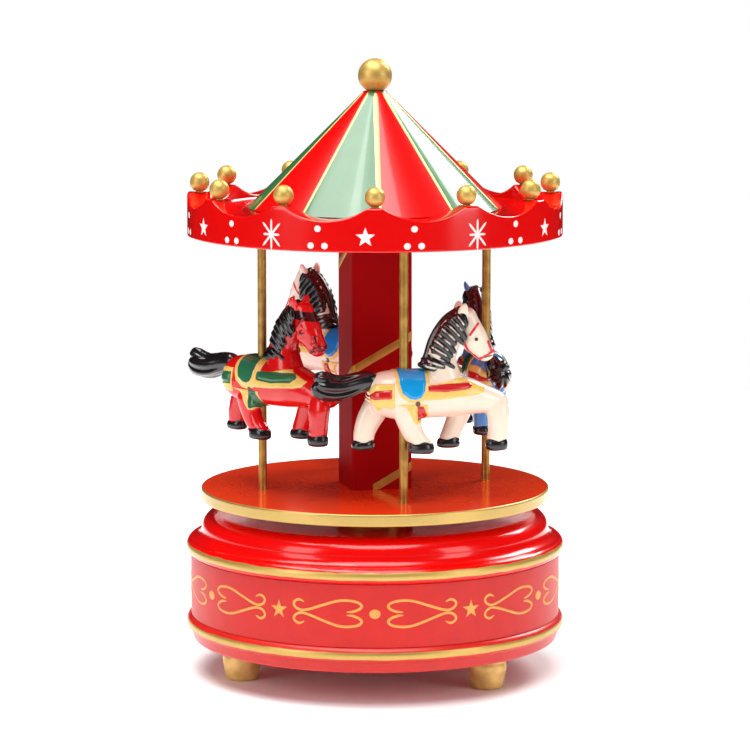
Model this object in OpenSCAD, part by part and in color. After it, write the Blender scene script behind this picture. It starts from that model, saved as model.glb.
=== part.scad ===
// Carousel music box: a turned wooden base holds a key-wound musical movement, and the
// movement's output shaft turns a deck, a square column, four poles with horses and a
// scalloped canopy. Millimetres, +Z up, origin on the floor under the turning axis.

/* [Base] */
// Height of the feet
foot_h = 10; // [6:0.5:16]
// Radius of a foot at its top
foot_r = 5.6; // [3.5:0.1:7]
// Radius of the circle that the feet stand on
foot_ring_r = 41.3; // [32:0.1:44]
// Height of the plinth, up to the foot of the wall
plinth_h = 7.4; // [6:0.1:12]
// Outer radius of the wall
wall_r = 53.8; // [53:0.1:70]
// Height of the wall between the two beads
wall_h = 18; // [16:0.1:30]
// Thickness of the wall
wall_t = 5.8; // [3:0.1:6.5]
// How far each bead stands out of the wall
bead_proud = 1.35; // [0.5:0.05:2]
// Radius of a bead's round
bead_round = 2.4; // [2.1:0.05:3]
// Height of the cap above the wall
cap_h = 11.7; // [10.5:0.1:16]
// Thickness of the cap's top
cap_t = 4; // [2.5:0.1:4.5]

/* [Carousel] */
// Gap between the cap and the deck
deck_gap = 3.9; // [3.2:0.1:8]
// Radius of the deck
deck_r = 50.7; // [42:0.1:62]
// Thickness of the deck
deck_t = 3.5; // [2.5:0.1:6]
// Side of the square column
column_w = 17.8; // [10:0.1:24]
// Height of the column, from the deck to the canopy
column_h = 73.5; // [62:0.5:100]
// Turn of the column and the poles from the front
column_turn = 14; // [0:1:89]
// Radius of a pole
pole_r = 1.25; // [0.8:0.05:2]
// Radius of the circle of poles
pole_ring_r = 33.5; // [28:0.5:42]
// Length of a pole that sits in each blind hole
pole_seat = 2; // [1:0.1:2.4]

/* [Canopy] */
// Outer radius of the canopy rim
rim_r = 54.2; // [45:0.1:66]
// Height of the rim at a scallop's peak
rim_h = 12.2; // [10:0.1:16]
// Width of the rim's upright wall
rim_wall = 7.2; // [5.5:0.1:9]
// Height of the rim's floor, on which the cone stands
rim_floor = 7.7; // [5:0.1:8.4]
// Number of scallops, each with a ball on its peak
scallops = 12; // [8:1:12]
// Depth of a scallop
scallop_depth = 3.6; // [1:0.1:4]
// Radius of a scallop's curve
scallop_round = 21.5; // [19:0.1:30]
// Radius of a rim ball
ball_r = 2.85; // [2:0.05:3.5]
// Radius of the cone at its foot
cone_r = 36.7; // [28:0.1:42]
// Radius of the cone at its tip
cone_tip_r = 3.2; // [2:0.1:4.5]
// Height of the cone
cone_h = 33.6; // [20:0.1:50]
// Radius of the finial ball
finial_r = 4.9; // [4.6:0.05:7]

/* [Horses] */
// Height of the front, left and right horses above their lowest place
horse_lift = 0; // [0:0.5:10]
// Extra height of the rear horse
rear_lift = 3.2; // [0:0.1:10]
// Width of a horse's body
horse_w = 12; // [10:0.1:13]

/* [Movement] */
// Thickness of the bedplate
bed_t = 2; // [1.5:0.1:3]
// Module of the gears
gear_module = 0.5; // [0.45:0.01:0.5]
// Radius of the pinned cylinder
drum_r = 6.2; // [5:0.1:6.3]
// Notes on the comb
notes = 18; // [12:1:18]
// Spacing of the comb's teeth
note_pitch = 0.93; // [0.8:0.01:0.95]
// Height of the pins on the cylinder
pin_h = 0.5; // [0.3:0.05:0.6]
// Radius of the winding arbor
arbor_r = 1.5; // [1.2:0.05:1.8]
// Radius of the output shaft
shaft_r = 2; // [1.5:0.05:2.5]
// Width across the wings of the key
key_w = 24; // [16:0.5:32]

/* [Fits] */
// Radial clearance of a running fit
run_gap = 0.05; // [0.02:0.01:0.1]
// Radial clearance round a glued dowel, pole or screw
glue_gap = 0.05; // [0.02:0.01:0.1]

/* [Hidden] */
$fn = 96;
cut = 1;
feet = 3;
foot_turn = -69;
foot_taper = 0.75;
foot_edge = 1.3;
foot_knee = 0.72;
dowel_r = 2;
dowel_l = 4;
plinth_set = 0.5;
plinth_edge = 1.2;
key_clear = 1.5;
bead_angle = acos(1 - bead_proud / bead_round);
cap_bead_end = 58;
cap_cove = 3.4;
cap_cove_out = 0.2;
cap_cove_rise = 0.4;
cap_dome_r = 5;
cap_dome_h = 4.6;
cap_lip = 1.6;

// heights
z_wall = foot_h + plinth_h;
z_cap = z_wall + wall_h;
z_cap_top = z_cap + cap_h;
z_cap_under = z_cap_top - cap_t;
z_deck = z_cap_top + deck_gap;
z_deck_top = z_deck + deck_t;
z_rim = z_deck_top + column_h;
z_rim_floor = z_rim + rim_floor;
z_peak = z_rim + rim_h;
z_tip = z_rim_floor + cone_h;
finial_sink = 0.45;
finial_z = z_tip - finial_sink + finial_r;
cavity_r = wall_r - wall_t;

// deck and poles
poles = 4;
deck_edge = 0.5;
hub_r = 11;
hub_t = 2.3;
hub_screws_n = 3;
hub_screw_in = 3;
hub_head_t = 0.4;
shaft_end = 1;
bush_r = 4;
bush_flange_r = 6.5;
bush_flange_t = 0.8;

// scallops and rim balls
scallop_angle = acos(1 - scallop_depth / scallop_round);
scallop_chord = scallop_round * sin(scallop_angle);
ball_ring_r = rim_r - rim_wall / 2;
ball_flat = 0.05;
ball_pin_r = 0.6;
ball_pin_l = 2;

// movement heights
z_bed = z_wall;
z_bed_top = z_bed + bed_t;
ratchet_t = 1.2;
layer_gap = 0.3;
z_ratchet = z_bed_top + layer_gap;
z_flange = z_ratchet + ratchet_t + layer_gap;
flange_t = 1.6;
z_crown_root = z_flange + flange_t;
tooth_add = 0.9 * gear_module;
tooth_ded = 1.35 * gear_module;
crown_teeth = 48;
pinion_teeth = 12;
gear_teeth = 24;
idler_teeth = 8;
wheel_teeth = 20;
worm_starts = 2;
crown_pitch_r = crown_teeth * gear_module / 2;
pinion_pitch_r = pinion_teeth * gear_module / 2;
gear_pitch_r = gear_teeth * gear_module / 2;
idler_pitch_r = idler_teeth * gear_module / 2;
wheel_pitch_r = wheel_teeth * gear_module / 2;
z_cyl = z_crown_root + tooth_ded + pinion_pitch_r;
face_w = 2.4;

// spring barrel
barrel_r = crown_pitch_r - 2.4;
barrel_wall = 0.7;
barrel_h = 8.1;
z_barrel_top = z_crown_root + barrel_h;
cover_t = 1;
core_r = 2.6;
spring_t = 0.35;
spring_turns = 5;
spring_gap = 0.5;

// cylinder train, along +X from the barrel
bracket_t = 1.2;
plate_gap = 1;
wheel_gap = 0.8;
worm_gap = 0.4;
cyl_arbor_r = 0.8;
cyl_arbor_end = 0.3;
idler_arbor_r = 0.6;
idler_arbor_end = 0.2;
bearing_half = 3;
idler_half = 2.6;
x_pinion = crown_pitch_r - face_w / 2;
x_inner = crown_pitch_r + face_w;
x_drum = x_inner + bracket_t + plate_gap;
drum_gap = 0.6;
drum_l = notes * note_pitch;
x_gear = x_drum + drum_l + drum_gap;
gear_t = 1.2;
x_outer = x_gear + gear_t + plate_gap;
x_wheel = x_outer + bracket_t + wheel_gap;
wheel_t = 1;
idler_y = -(gear_pitch_r + idler_pitch_r);
worm_r = 3.2 * gear_module;
worm_core_r = worm_r - gear_module;
worm_outer_r = worm_r + 0.8 * gear_module;
worm_lead = PI * gear_module * worm_starts;
worm_thread_w = 1.2;
worm_x = x_wheel + wheel_t / 2;
x_post = worm_x + worm_outer_r + worm_gap;
worm_y = idler_y - wheel_pitch_r - worm_r;
worm_l = 9;
z_worm = z_cyl - worm_l / 2;
spindle_r = 0.5;
spindle_foot = 0.5;
spindle_gap = 0.1;
arm_t = 1.2;
arm_w = 4;
z_arm = z_cyl + 5.4;
z_fan = z_arm + arm_t + 0.6;
fan_h = 4;
fan_w = 6.4;
fan_t = 0.4;
fan_hub_r = 1.2;

// comb
comb_t = 1;
comb_gap = 0.15;
comb_tip_y = drum_r + pin_h + comb_gap;
comb_root_y = 14;
comb_back_y = 22;
comb_block_y = 15.5;
tooth_w = 0.6;

// bedplate outline and screws
bed_x = [-13, x_post + bracket_t + wheel_gap];
bed_y = [-18, 24];
bed_clear = 1.6;
slot_gap = 0.5;
screw_r = 1.2;
screw_head_r = 2.2;
screw_head_t = 1.2;
head_recess = 1.6;
bed_screws = [[-9, -13], [-9, 18], [x_outer - 6, -14.5]];
comb_screw_r = 0.9;
comb_screw_head_r = 1.7;
comb_screw_head_t = 0.9;
comb_screw_l = 3;
comb_screws_n = 3;
screw_bite = 7;
base_screw_ring_r = cavity_r + 2.1;
base_screw_head_r = 1.9;

// ratchet, click and key
ratchet_teeth = 12;
ratchet_r = 6;
ratchet_depth = 0.9;
ratchet_rake = 3;
ratchet_phase = 8;
click_gap = 0.15;
click_pivot = [-9.6, 3.4];
click_pivot_r = 0.7;
click_t = 1;
click_beak = [[0, 0.2], [-0.9, -0.5]];
click_heel = [[-1.6, -0.6], [-1.2, 1.4], [1.1, 1.2], [1.3, -0.8]];
key_floor = 2.2;
key_top = foot_h - 0.6;
key_hub_r = 2.6;
key_t = 1.2;
key_floor_t = 1.4;
key_rim = 2;
arbor_end = 0.5;

// crown teeth, half widths at the foot and the tip in modules
crown_edge = 0.2;
crown_foot = 0.75;
crown_tip = 0.4;
crown_sink = 0.1;

// horses: [x, z, radius] of each round, +X forward from the pole
horse_trunk = [[-4.4, 31.8, horse_w / 2], [8, 31, horse_w / 2 - 0.2], [21.8, 29.2, horse_w / 2 - 1.2]];
horse_neck = [[9.5, 36, 4.2], [16.5, 33, 4.2], [12.2, 47.5, 4.6], [15.6, 51.4, 3.4]];
horse_head = [[17.6, 50.6, 3.5], [22.8, 43.8, 2.6]];
horse_tuft = [[-20.8, 34.6, 3.5], [-22.4, 35.6, 3.5]];
tail_root = [-8, 36];
tail_l = 13;
tail_r = [2.2, 3.4];
tail_pitch = -96;
ear_place = [16.8, 2.3, 52];
ear_r = [1.5, 0.5];
ear_l = 4.4;
ear_splay = 12;
leg_set = 2.8;
leg_top_r = 3.3;
hoof_r = [3, 2.2];
hoof_h = 3;
hoof_z = 15.5;
// [x at the shoulder or hip, side, z there, x of the hoof]
horse_legs = [[-5.5, 1, 28.5, -12], [0, -1, 28, 4.8], [19, 1, 27, 12.6], [25.8, -1, 26.6, 26.9]];
bore_z = 10;
bore_h = 40;

// ---- helpers

// Points along an elliptical arc, from angle a to angle b
function arc(x, z, rx, rz, a, b, n = 12) =
    [for (i = [0:n]) let (t = a + (b - a) * i / n) [x + rx * cos(t), z + rz * sin(t)]];

// Outline of a spur gear with straight-sided teeth, the first tooth on +X when phase is 0
function gear_outline(teeth, phase = 0) =
    let (pitch_r = teeth * gear_module / 2,
         tip_r = pitch_r + tooth_add,
         root_r = pitch_r - tooth_ded + 0.02,
         root_a = asin(0.7 * gear_module / root_r),
         tip_a = asin(0.32 * gear_module / tip_r))
    [for (i = [0:teeth - 1], s = [[root_r, -root_a], [tip_r, -tip_a], [tip_r, tip_a], [root_r, root_a]])
        let (t = phase + 360 * i / teeth + s[1]) [s[0] * cos(t), s[0] * sin(t)]];

// Places children on a circle about the turning axis; azimuth 0 faces the front, -Y
module around(azimuth, radius) rotate([0, 0, azimuth - 90]) translate([radius, 0, 0]) children();

// Turns children so that their +Z lies along +X, at height z and offset y
module along_x(x, y, z) translate([x, y, z]) rotate([90, 0, 90]) children();

// Solid of revolution from a list of [radius, height] points
module lathe(points) rotate_extrude() polygon(points);

// ---- base

module base_plinth() {
    crest_z = z_wall - bead_round * sin(bead_angle);
    low_r = wall_r - plinth_set;
    color("firebrick")
    difference() {
        lathe(concat(
            [[0, foot_h]],
            arc(low_r - plinth_edge, foot_h + plinth_edge, plinth_edge, plinth_edge, -90, 0),
            arc(wall_r + bead_proud - bead_round, crest_z, bead_round, bead_round, -bead_angle, bead_angle),
            [[0, z_wall]]));
        translate([0, 0, foot_h - cut]) cylinder(r = arbor_r + key_clear, h = plinth_h + 2 * cut);
        for (i = [0:feet - 1]) foot_place(i) translate([0, 0, foot_h - cut])
            cylinder(r = dowel_r + glue_gap, h = dowel_l + cut + glue_gap);
        for (i = [0:feet - 1]) screw_place(i) {
            translate([0, 0, foot_h - cut]) cylinder(r = screw_r + glue_gap, h = plinth_h + 2 * cut);
            translate([0, 0, foot_h - cut]) cylinder(r = base_screw_head_r + glue_gap, h = head_recess + cut);
        }
        for (p = bed_screws) translate([p[0], p[1], foot_h - cut]) {
            cylinder(r = screw_r + glue_gap, h = plinth_h + 2 * cut);
            cylinder(r = screw_head_r + glue_gap, h = head_recess + cut);
        }
    }
}

module base_wall() {
    color("indianred")
    difference() {
        translate([0, 0, z_wall]) cylinder(r = wall_r, h = wall_h);
        translate([0, 0, z_wall - cut]) cylinder(r = cavity_r, h = wall_h + 2 * cut);
        for (i = [0:feet - 1]) screw_place(i) translate([0, 0, z_wall - cut])
            cylinder(r = screw_r + glue_gap, h = screw_bite + cut + glue_gap);
    }
}

module base_cap() {
    crest_z = z_cap + bead_round * sin(bead_angle);
    bead_x = wall_r + bead_proud - bead_round;
    bead_top = crest_z + bead_round * sin(cap_bead_end);
    cove_x = wall_r + cap_cove_out;
    dome_x = cove_x - cap_cove - cap_dome_r;
    dome_z = z_cap_top - cap_dome_h;
    cove_z = dome_z + cap_cove_rise;
    color("red")
    difference() {
        lathe(concat(
            [[cavity_r - cap_lip, z_cap]],
            arc(bead_x, crest_z, bead_round, bead_round, -bead_angle, cap_bead_end),
            arc(cove_x, cove_z, cap_cove, cove_z - bead_top, 268, 182),
            arc(dome_x, dome_z, cap_dome_r, cap_dome_h, 0, 90),
            [[0, z_cap_top], [0, z_cap_under], [cavity_r - cap_lip, z_cap_under]]));
        translate([0, 0, z_cap_under - cut]) cylinder(r = bush_r + glue_gap, h = cap_t + 2 * cut);
    }
}

module foot_place(i) around(foot_turn + i * 360 / feet, foot_ring_r) children();

module screw_place(i) around(foot_turn + (i + 0.5) * 360 / feet, base_screw_ring_r) children();

module foot(i) {
    color("darkkhaki")
    foot_place(i) lathe(concat(
        [[0, 0]],
        arc(foot_r - foot_taper - foot_edge, foot_edge, foot_edge, foot_edge, -90, 0, 8),
        [[foot_r, foot_h * foot_knee], [foot_r, foot_h], [dowel_r, foot_h],
         [dowel_r, foot_h + dowel_l], [0, foot_h + dowel_l]]));
}

// Screws that hold the plinth to the wall
module base_screws() {
    color("goldenrod")
    for (i = [0:feet - 1]) screw_place(i) {
        translate([0, 0, foot_h + head_recess - screw_head_t]) cylinder(r = base_screw_head_r, h = screw_head_t);
        translate([0, 0, foot_h + head_recess]) cylinder(r = screw_r, h = plinth_h - head_recess + screw_bite);
    }
}

module spindle_bush() {
    color("gold")
    difference() {
        union() {
            translate([0, 0, z_cap_under]) cylinder(r = bush_r, h = cap_t);
            translate([0, 0, z_cap_top]) cylinder(r = bush_flange_r, h = bush_flange_t);
        }
        translate([0, 0, z_cap_under - cut]) cylinder(r = shaft_r + run_gap, h = cap_t + bush_flange_t + 2 * cut);
    }
}

// ---- movement frame

module movement_bedplate() {
    color("gainsboro")
    difference() {
        union() {
            intersection() {
                translate([bed_x[0], bed_y[0], z_bed]) cube([bed_x[1] - bed_x[0], bed_y[1] - bed_y[0], bed_t]);
                translate([0, 0, z_bed]) cylinder(r = cavity_r - bed_clear, h = bed_t);
            }
            translate([x_drum, comb_block_y, z_bed])
                cube([drum_l, comb_back_y - comb_block_y, z_cyl - comb_t / 2 - z_bed]);
        }
        translate([0, 0, z_bed - cut]) cylinder(r = arbor_r + run_gap, h = bed_t + 2 * cut);
        translate([x_drum - slot_gap, -drum_r, z_bed - cut])
            cube([drum_l + 2 * slot_gap, 2 * drum_r, bed_t + 2 * cut]);
        for (p = bed_screws) translate([p[0], p[1], z_bed - cut])
            cylinder(r = screw_r + glue_gap, h = bed_t + 2 * cut);
        for (i = [0:comb_screws_n - 1]) comb_screw_place(i) translate([0, 0, -comb_screw_l - glue_gap])
            cylinder(r = comb_screw_r + glue_gap, h = comb_screw_l + cut);
        translate([click_pivot[0], click_pivot[1], z_bed - cut])
            cylinder(r = click_pivot_r + glue_gap, h = bed_t + 2 * cut);
    }
}

module movement_screws() {
    color("goldenrod")
    for (p = bed_screws) translate([p[0], p[1], foot_h + head_recess]) {
        translate([0, 0, -screw_head_t]) cylinder(r = screw_head_r, h = screw_head_t);
        cylinder(r = screw_r, h = z_bed_top - foot_h - head_recess);
    }
}

// Upright plate in the YZ plane with a bore at each [y, z, radius]
module upright(x, y0, y1, z1, bores) {
    difference() {
        translate([x, y0, z_bed_top]) cube([bracket_t, y1 - y0, z1 - z_bed_top]);
        for (b = bores) along_x(x - cut, b[0], b[1]) cylinder(r = b[2] + run_gap, h = bracket_t + 2 * cut);
    }
}

module inner_bearing() {
    color("silver") upright(x_inner, -bearing_half, bearing_half, z_cyl + bearing_half,
        [[0, z_cyl, cyl_arbor_r]]);
}

module outer_bearing() {
    color("silver") upright(x_outer, idler_y - idler_half, bearing_half, z_cyl + bearing_half,
        [[0, z_cyl, cyl_arbor_r], [idler_y, z_cyl, idler_arbor_r]]);
}

module governor_bracket() {
    arm_y = worm_y - arm_w / 2;
    arm_x = worm_x - arm_w / 2;
    color("silver")
    difference() {
        union() {
            upright(x_post, arm_y, idler_y + idler_half, z_arm + arm_t, [[idler_y, z_cyl, idler_arbor_r]]);
            for (z = [z_bed_top, z_arm]) translate([arm_x, arm_y, z])
                cube([x_post - arm_x + bracket_t / 2, arm_w, arm_t]);
        }
        translate([worm_x, worm_y, z_bed_top + spindle_foot]) cylinder(r = spindle_r + run_gap, h = z_arm);
    }
}

module comb_screw_place(i)
    translate([x_drum + drum_l * (i + 0.5) / comb_screws_n, (comb_block_y + comb_back_y) / 2, z_cyl - comb_t / 2])
        children();

module comb() {
    color("lightsteelblue")
    difference() {
        translate([x_drum, 0, z_cyl - comb_t / 2]) linear_extrude(comb_t) {
            translate([0, comb_root_y]) square([drum_l, comb_back_y - comb_root_y]);
            for (i = [0:notes - 1])
                translate([(i + 0.5) * note_pitch - tooth_w / 2, comb_tip_y])
                    square([tooth_w, comb_root_y - comb_tip_y + comb_t]);
        }
        for (i = [0:comb_screws_n - 1]) comb_screw_place(i) translate([0, 0, -cut])
            cylinder(r = comb_screw_r + glue_gap, h = comb_t + 2 * cut);
    }
}

module comb_screws() {
    color("goldenrod")
    for (i = [0:comb_screws_n - 1]) comb_screw_place(i) {
        translate([0, 0, -comb_screw_l]) cylinder(r = comb_screw_r, h = comb_screw_l + comb_t);
        translate([0, 0, comb_t]) cylinder(r = comb_screw_head_r, h = comb_screw_head_t);
    }
}

// Spring click that stops the ratchet from unwinding, lifted just clear of the teeth
module ratchet_click() {
    tip = ratchet_r + click_gap;
    color("dimgray") {
        translate([0, 0, z_ratchet]) linear_extrude(click_t) polygon(concat(
            [for (p = click_beak) p - [tip, 0]], [for (p = click_heel) click_pivot + p]));
        translate([click_pivot[0], click_pivot[1], z_bed])
            cylinder(r = click_pivot_r, h = z_ratchet - z_bed + click_t / 2);
    }
}

// ---- winding body

module winding_arbor() {
    color("gray") {
        translate([0, 0, key_floor + key_floor_t])
            cylinder(r = arbor_r, h = z_barrel_top - arbor_end - key_floor - key_floor_t);
        translate([0, 0, z_crown_root + spring_gap]) cylinder(r = core_r, h = barrel_h - 2 * spring_gap);
    }
}

module winding_key() {
    wing_z = (key_floor + key_top) / 2;
    wing_h = key_top - key_floor;
    color("silver")
    difference() {
        union() {
            translate([0, 0, key_floor]) cylinder(r = key_hub_r, h = wing_h);
            for (side = [-1, 1])
                hull() for (x = [key_hub_r, key_w / 2 - wing_h / 2])
                    translate([side * x, key_t / 2, wing_z]) rotate([90, 0, 0])
                        cylinder(r = wing_h / 2, h = key_t, $fn = 28);
        }
        translate([0, 0, key_floor + key_floor_t]) cylinder(r = arbor_r, h = wing_h);
        for (side = [-1, 1]) translate([side * (key_w / 2 - wing_h / 2), key_t, wing_z]) rotate([90, 0, 0])
            cylinder(r = wing_h / 2 - key_rim, h = 2 * key_t);
    }
}

module ratchet_wheel() {
    color("gray")
    translate([0, 0, z_ratchet]) difference() {
        linear_extrude(ratchet_t) polygon([
            for (i = [0:ratchet_teeth - 1], s = [[ratchet_r, 0], [ratchet_r - ratchet_depth, ratchet_rake]])
                let (t = 180 + ratchet_phase + 360 * i / ratchet_teeth - s[1]) [s[0] * cos(t), s[0] * sin(t)]]);
        translate([0, 0, -cut]) cylinder(r = arbor_r, h = ratchet_t + 2 * cut);
    }
}

// ---- carousel body, from the spring barrel up

module spring_barrel() {
    color("gold")
    difference() {
        union() {
            translate([0, 0, z_flange]) cylinder(r = crown_pitch_r + face_w / 2 + crown_edge, h = flange_t);
            translate([0, 0, z_flange]) cylinder(r = barrel_r, h = flange_t + barrel_h);
            for (i = [0:crown_teeth - 1]) rotate([0, 0, 360 * i / crown_teeth])
                translate([crown_pitch_r - face_w / 2, 0, z_crown_root - crown_sink]) rotate([90, 0, 90])
                    linear_extrude(face_w) polygon([
                        [-crown_foot * gear_module, 0], [crown_foot * gear_module, 0],
                        [crown_tip * gear_module, tooth_add + tooth_ded + crown_sink],
                        [-crown_tip * gear_module, tooth_add + tooth_ded + crown_sink]]);
        }
        translate([0, 0, z_crown_root]) cylinder(r = barrel_r - barrel_wall, h = barrel_h + cut);
        translate([0, 0, z_flange - cut]) cylinder(r = arbor_r + run_gap, h = flange_t + 2 * cut);
    }
}

module barrel_cover() {
    color("goldenrod")
    translate([0, 0, z_barrel_top]) difference() {
        cylinder(r = barrel_r, h = cover_t);
        translate([0, 0, -cut]) cylinder(r = shaft_r, h = cover_t + 2 * cut);
    }
}

// Flat spring wound as a spiral between the arbor's core and the barrel's wall
module mainspring() {
    r0 = core_r + run_gap;
    r1 = barrel_r - barrel_wall - run_gap - spring_t;
    steps = 20;
    n = spring_turns * steps;
    color("steelblue")
    translate([0, 0, z_crown_root + spring_gap])
        linear_extrude(barrel_h - 2 * spring_gap) polygon(concat(
            [for (i = [0:n]) let (r = r0 + (r1 - r0) * i / n, t = 360 * i / steps) [r * cos(t), r * sin(t)]],
            [for (i = [n:-1:0]) let (r = r0 + spring_t + (r1 - r0) * i / n, t = 360 * i / steps)
                [r * cos(t), r * sin(t)]]));
}

module output_shaft() {
    color("gray")
    translate([0, 0, z_barrel_top]) cylinder(r = shaft_r, h = z_deck_top - shaft_end - z_barrel_top);
}

module deck_hub() {
    color("goldenrod")
    difference() {
        translate([0, 0, z_deck - hub_t]) cylinder(r = hub_r, h = hub_t);
        translate([0, 0, z_deck - hub_t - cut]) cylinder(r = shaft_r, h = hub_t + 2 * cut);
        for (i = [0:hub_screws_n - 1]) hub_screw_place(i) cylinder(r = comb_screw_r + glue_gap, h = hub_t + cut);
    }
}

module hub_screw_place(i)
    around(i * 360 / hub_screws_n, hub_r - hub_screw_in) translate([0, 0, z_deck - hub_t]) children();

module hub_screws() {
    color("gainsboro")
    for (i = [0:hub_screws_n - 1]) hub_screw_place(i) {
        translate([0, 0, -hub_head_t]) cylinder(r = comb_screw_head_r, h = hub_head_t);
        cylinder(r = comb_screw_r, h = hub_t + deck_t - shaft_end);
    }
}

module deck() {
    color("orangered")
    difference() {
        lathe(concat([[0, z_deck]],
            arc(deck_r - deck_edge, z_deck + deck_edge, deck_edge, deck_edge, -90, 0, 6),
            arc(deck_r - deck_edge, z_deck_top - deck_edge, deck_edge, deck_edge, 0, 90, 6),
            [[0, z_deck_top]]));
        translate([0, 0, z_deck - cut]) cylinder(r = shaft_r + glue_gap, h = deck_t - shaft_end + cut + glue_gap);
        for (i = [0:hub_screws_n - 1]) hub_screw_place(i)
            cylinder(r = comb_screw_r + glue_gap, h = hub_t + deck_t - shaft_end + glue_gap);
        for (i = [0:poles - 1]) pole_place(i) translate([0, 0, z_deck_top - pole_seat - glue_gap])
            cylinder(r = pole_r + glue_gap, h = pole_seat + cut);
    }
}

module column() {
    color("darkred")
    rotate([0, 0, column_turn]) translate([-column_w / 2, -column_w / 2, z_deck_top])
        cube([column_w, column_w, column_h]);
}

module pole_place(i) around(column_turn + i * 360 / poles, pole_ring_r) children();

module pole(i) {
    color("goldenrod")
    pole_place(i) translate([0, 0, z_deck_top - pole_seat]) cylinder(r = pole_r, h = column_h + 2 * pole_seat);
}

// ---- canopy

module canopy_rim() {
    color("red")
    difference() {
        translate([0, 0, z_rim]) cylinder(r = rim_r, h = rim_h);
        translate([0, 0, z_rim_floor]) cylinder(r = rim_r - rim_wall, h = rim_h);
        for (i = [0:scallops - 1])
            rotate([0, 0, (i + 0.5) * 360 / scallops - 90])
                translate([rim_r - rim_wall - cut, 0, z_peak]) rotate([90, 0, 90])
                    linear_extrude(rim_wall + 2 * cut) polygon(concat(
                        arc(0, scallop_round - scallop_depth, scallop_round, scallop_round,
                            270 - scallop_angle, 270 + scallop_angle, 16),
                        [[scallop_chord, cut], [-scallop_chord, cut]]));
        for (i = [0:scallops - 1]) ball_place(i) translate([0, 0, -ball_pin_l - glue_gap])
            cylinder(r = ball_pin_r + glue_gap, h = ball_pin_l + cut);
        for (i = [0:poles - 1]) pole_place(i) translate([0, 0, z_rim - cut])
            cylinder(r = pole_r + glue_gap, h = pole_seat + cut + glue_gap);
    }
}

module canopy_cone() {
    color("seagreen")
    difference() {
        translate([0, 0, z_rim_floor]) cylinder(r1 = cone_r, r2 = cone_tip_r, h = cone_h);
        translate([0, 0, finial_z]) sphere(r = finial_r);
    }
}

module finial_ball() {
    color("gold") translate([0, 0, finial_z]) sphere(r = finial_r);
}

module ball_place(i) around(i * 360 / scallops, ball_ring_r) translate([0, 0, z_peak]) children();

module rim_ball(i) {
    color("gold")
    ball_place(i) {
        difference() {
            translate([0, 0, ball_r - ball_flat]) sphere(r = ball_r);
            translate([-ball_r, -ball_r, -ball_r]) cube([2 * ball_r, 2 * ball_r, ball_r]);
        }
        translate([0, 0, -ball_pin_l]) cylinder(r = ball_pin_r, h = ball_pin_l + ball_r);
    }
}

// ---- horses: +X forward, origin on the pole's axis at the deck's top

module rounds(list, sides) for (p = list) translate([p[0], 0, p[1]]) sphere(r = p[2], $fn = sides);

module leg(x0, y, z0, x1) {
    hull() {
        translate([x0, y, z0]) sphere(r = leg_top_r, $fn = 18);
        translate([x1, y, hoof_z]) cylinder(r1 = hoof_r[0], r2 = hoof_r[1], h = hoof_h, $fn = 18);
    }
}

module horse_form() {
    hull() rounds(horse_trunk, 24);
    hull() rounds(horse_neck, 20);
    hull() rounds(horse_head, 20);
    for (p = horse_legs) leg(p[0], p[1] * (horse_w / 2 - leg_set), p[2], p[3]);
    for (side = [-1, 1]) translate([ear_place[0], side * ear_place[1], ear_place[2]])
        rotate([-ear_splay * side, 0, 0]) cylinder(r1 = ear_r[0], r2 = ear_r[1], h = ear_l);
    translate([tail_root[0], 0, tail_root[1]]) rotate([0, tail_pitch, 0])
        cylinder(r1 = tail_r[0], r2 = tail_r[1], h = tail_l);
    rounds(horse_tuft, 32);
}

// A horse on pole i, turned by heading from +X, raised by lift and slid back on its pole
module horse(i, heading, lift, slide = 0) {
    a = column_turn + i * 360 / poles;
    translate([pole_ring_r * sin(a), -pole_ring_r * cos(a), z_deck_top + horse_lift + lift])
        rotate([0, 0, heading]) difference() {
            translate([-slide, 0, 0]) horse_form();
            translate([0, 0, bore_z]) cylinder(r = pole_r + glue_gap, h = bore_h);
        }
}

module horse_front_white() { color("linen") horse(0, 14, 0); }
module horse_right_blue() { color("cornflowerblue") horse(1, 99, 0); }
module horse_rear_white() { color("linen") horse(2, 134, rear_lift); }
module horse_left_red() { color("crimson") horse(3, -40, 0.6, 1.2); }

// ---- cylinder body

module music_cylinder() {
    step = 137.5;
    pin_r = 0.22;
    color("gold")
    difference() {
        union() {
            along_x(x_drum, 0, z_cyl) cylinder(r = drum_r, h = drum_l);
            for (i = [0:3 * notes - 1])
                translate([x_drum + (i % notes + 0.5) * note_pitch, 0, z_cyl]) rotate([i * step, 0, 0])
                    cylinder(r = pin_r, h = drum_r + pin_h);
        }
        along_x(x_drum - cut, 0, z_cyl) cylinder(r = cyl_arbor_r, h = drum_l + 2 * cut);
    }
}

module cylinder_arbor() {
    color("gray") along_x(x_pinion, 0, z_cyl)
        cylinder(r = cyl_arbor_r, h = x_outer + bracket_t + cyl_arbor_end - x_pinion);
}

// A gear on an arbor along X, its first tooth at the given angle from +Y
module x_gear_wheel(x, y, teeth, thick, phase, bore_r) {
    along_x(x, y, z_cyl) difference() {
        linear_extrude(thick) polygon(gear_outline(teeth, phase));
        translate([0, 0, -cut]) cylinder(r = bore_r, h = thick + 2 * cut);
    }
}

module cylinder_pinion() {
    color("silver")
        x_gear_wheel(x_pinion, 0, pinion_teeth, face_w, -90 + 180 / pinion_teeth, cyl_arbor_r);
}

module cylinder_gear() {
    color("goldenrod") x_gear_wheel(x_gear, 0, gear_teeth, gear_t, 180, cyl_arbor_r);
}

// ---- idler body

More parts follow.
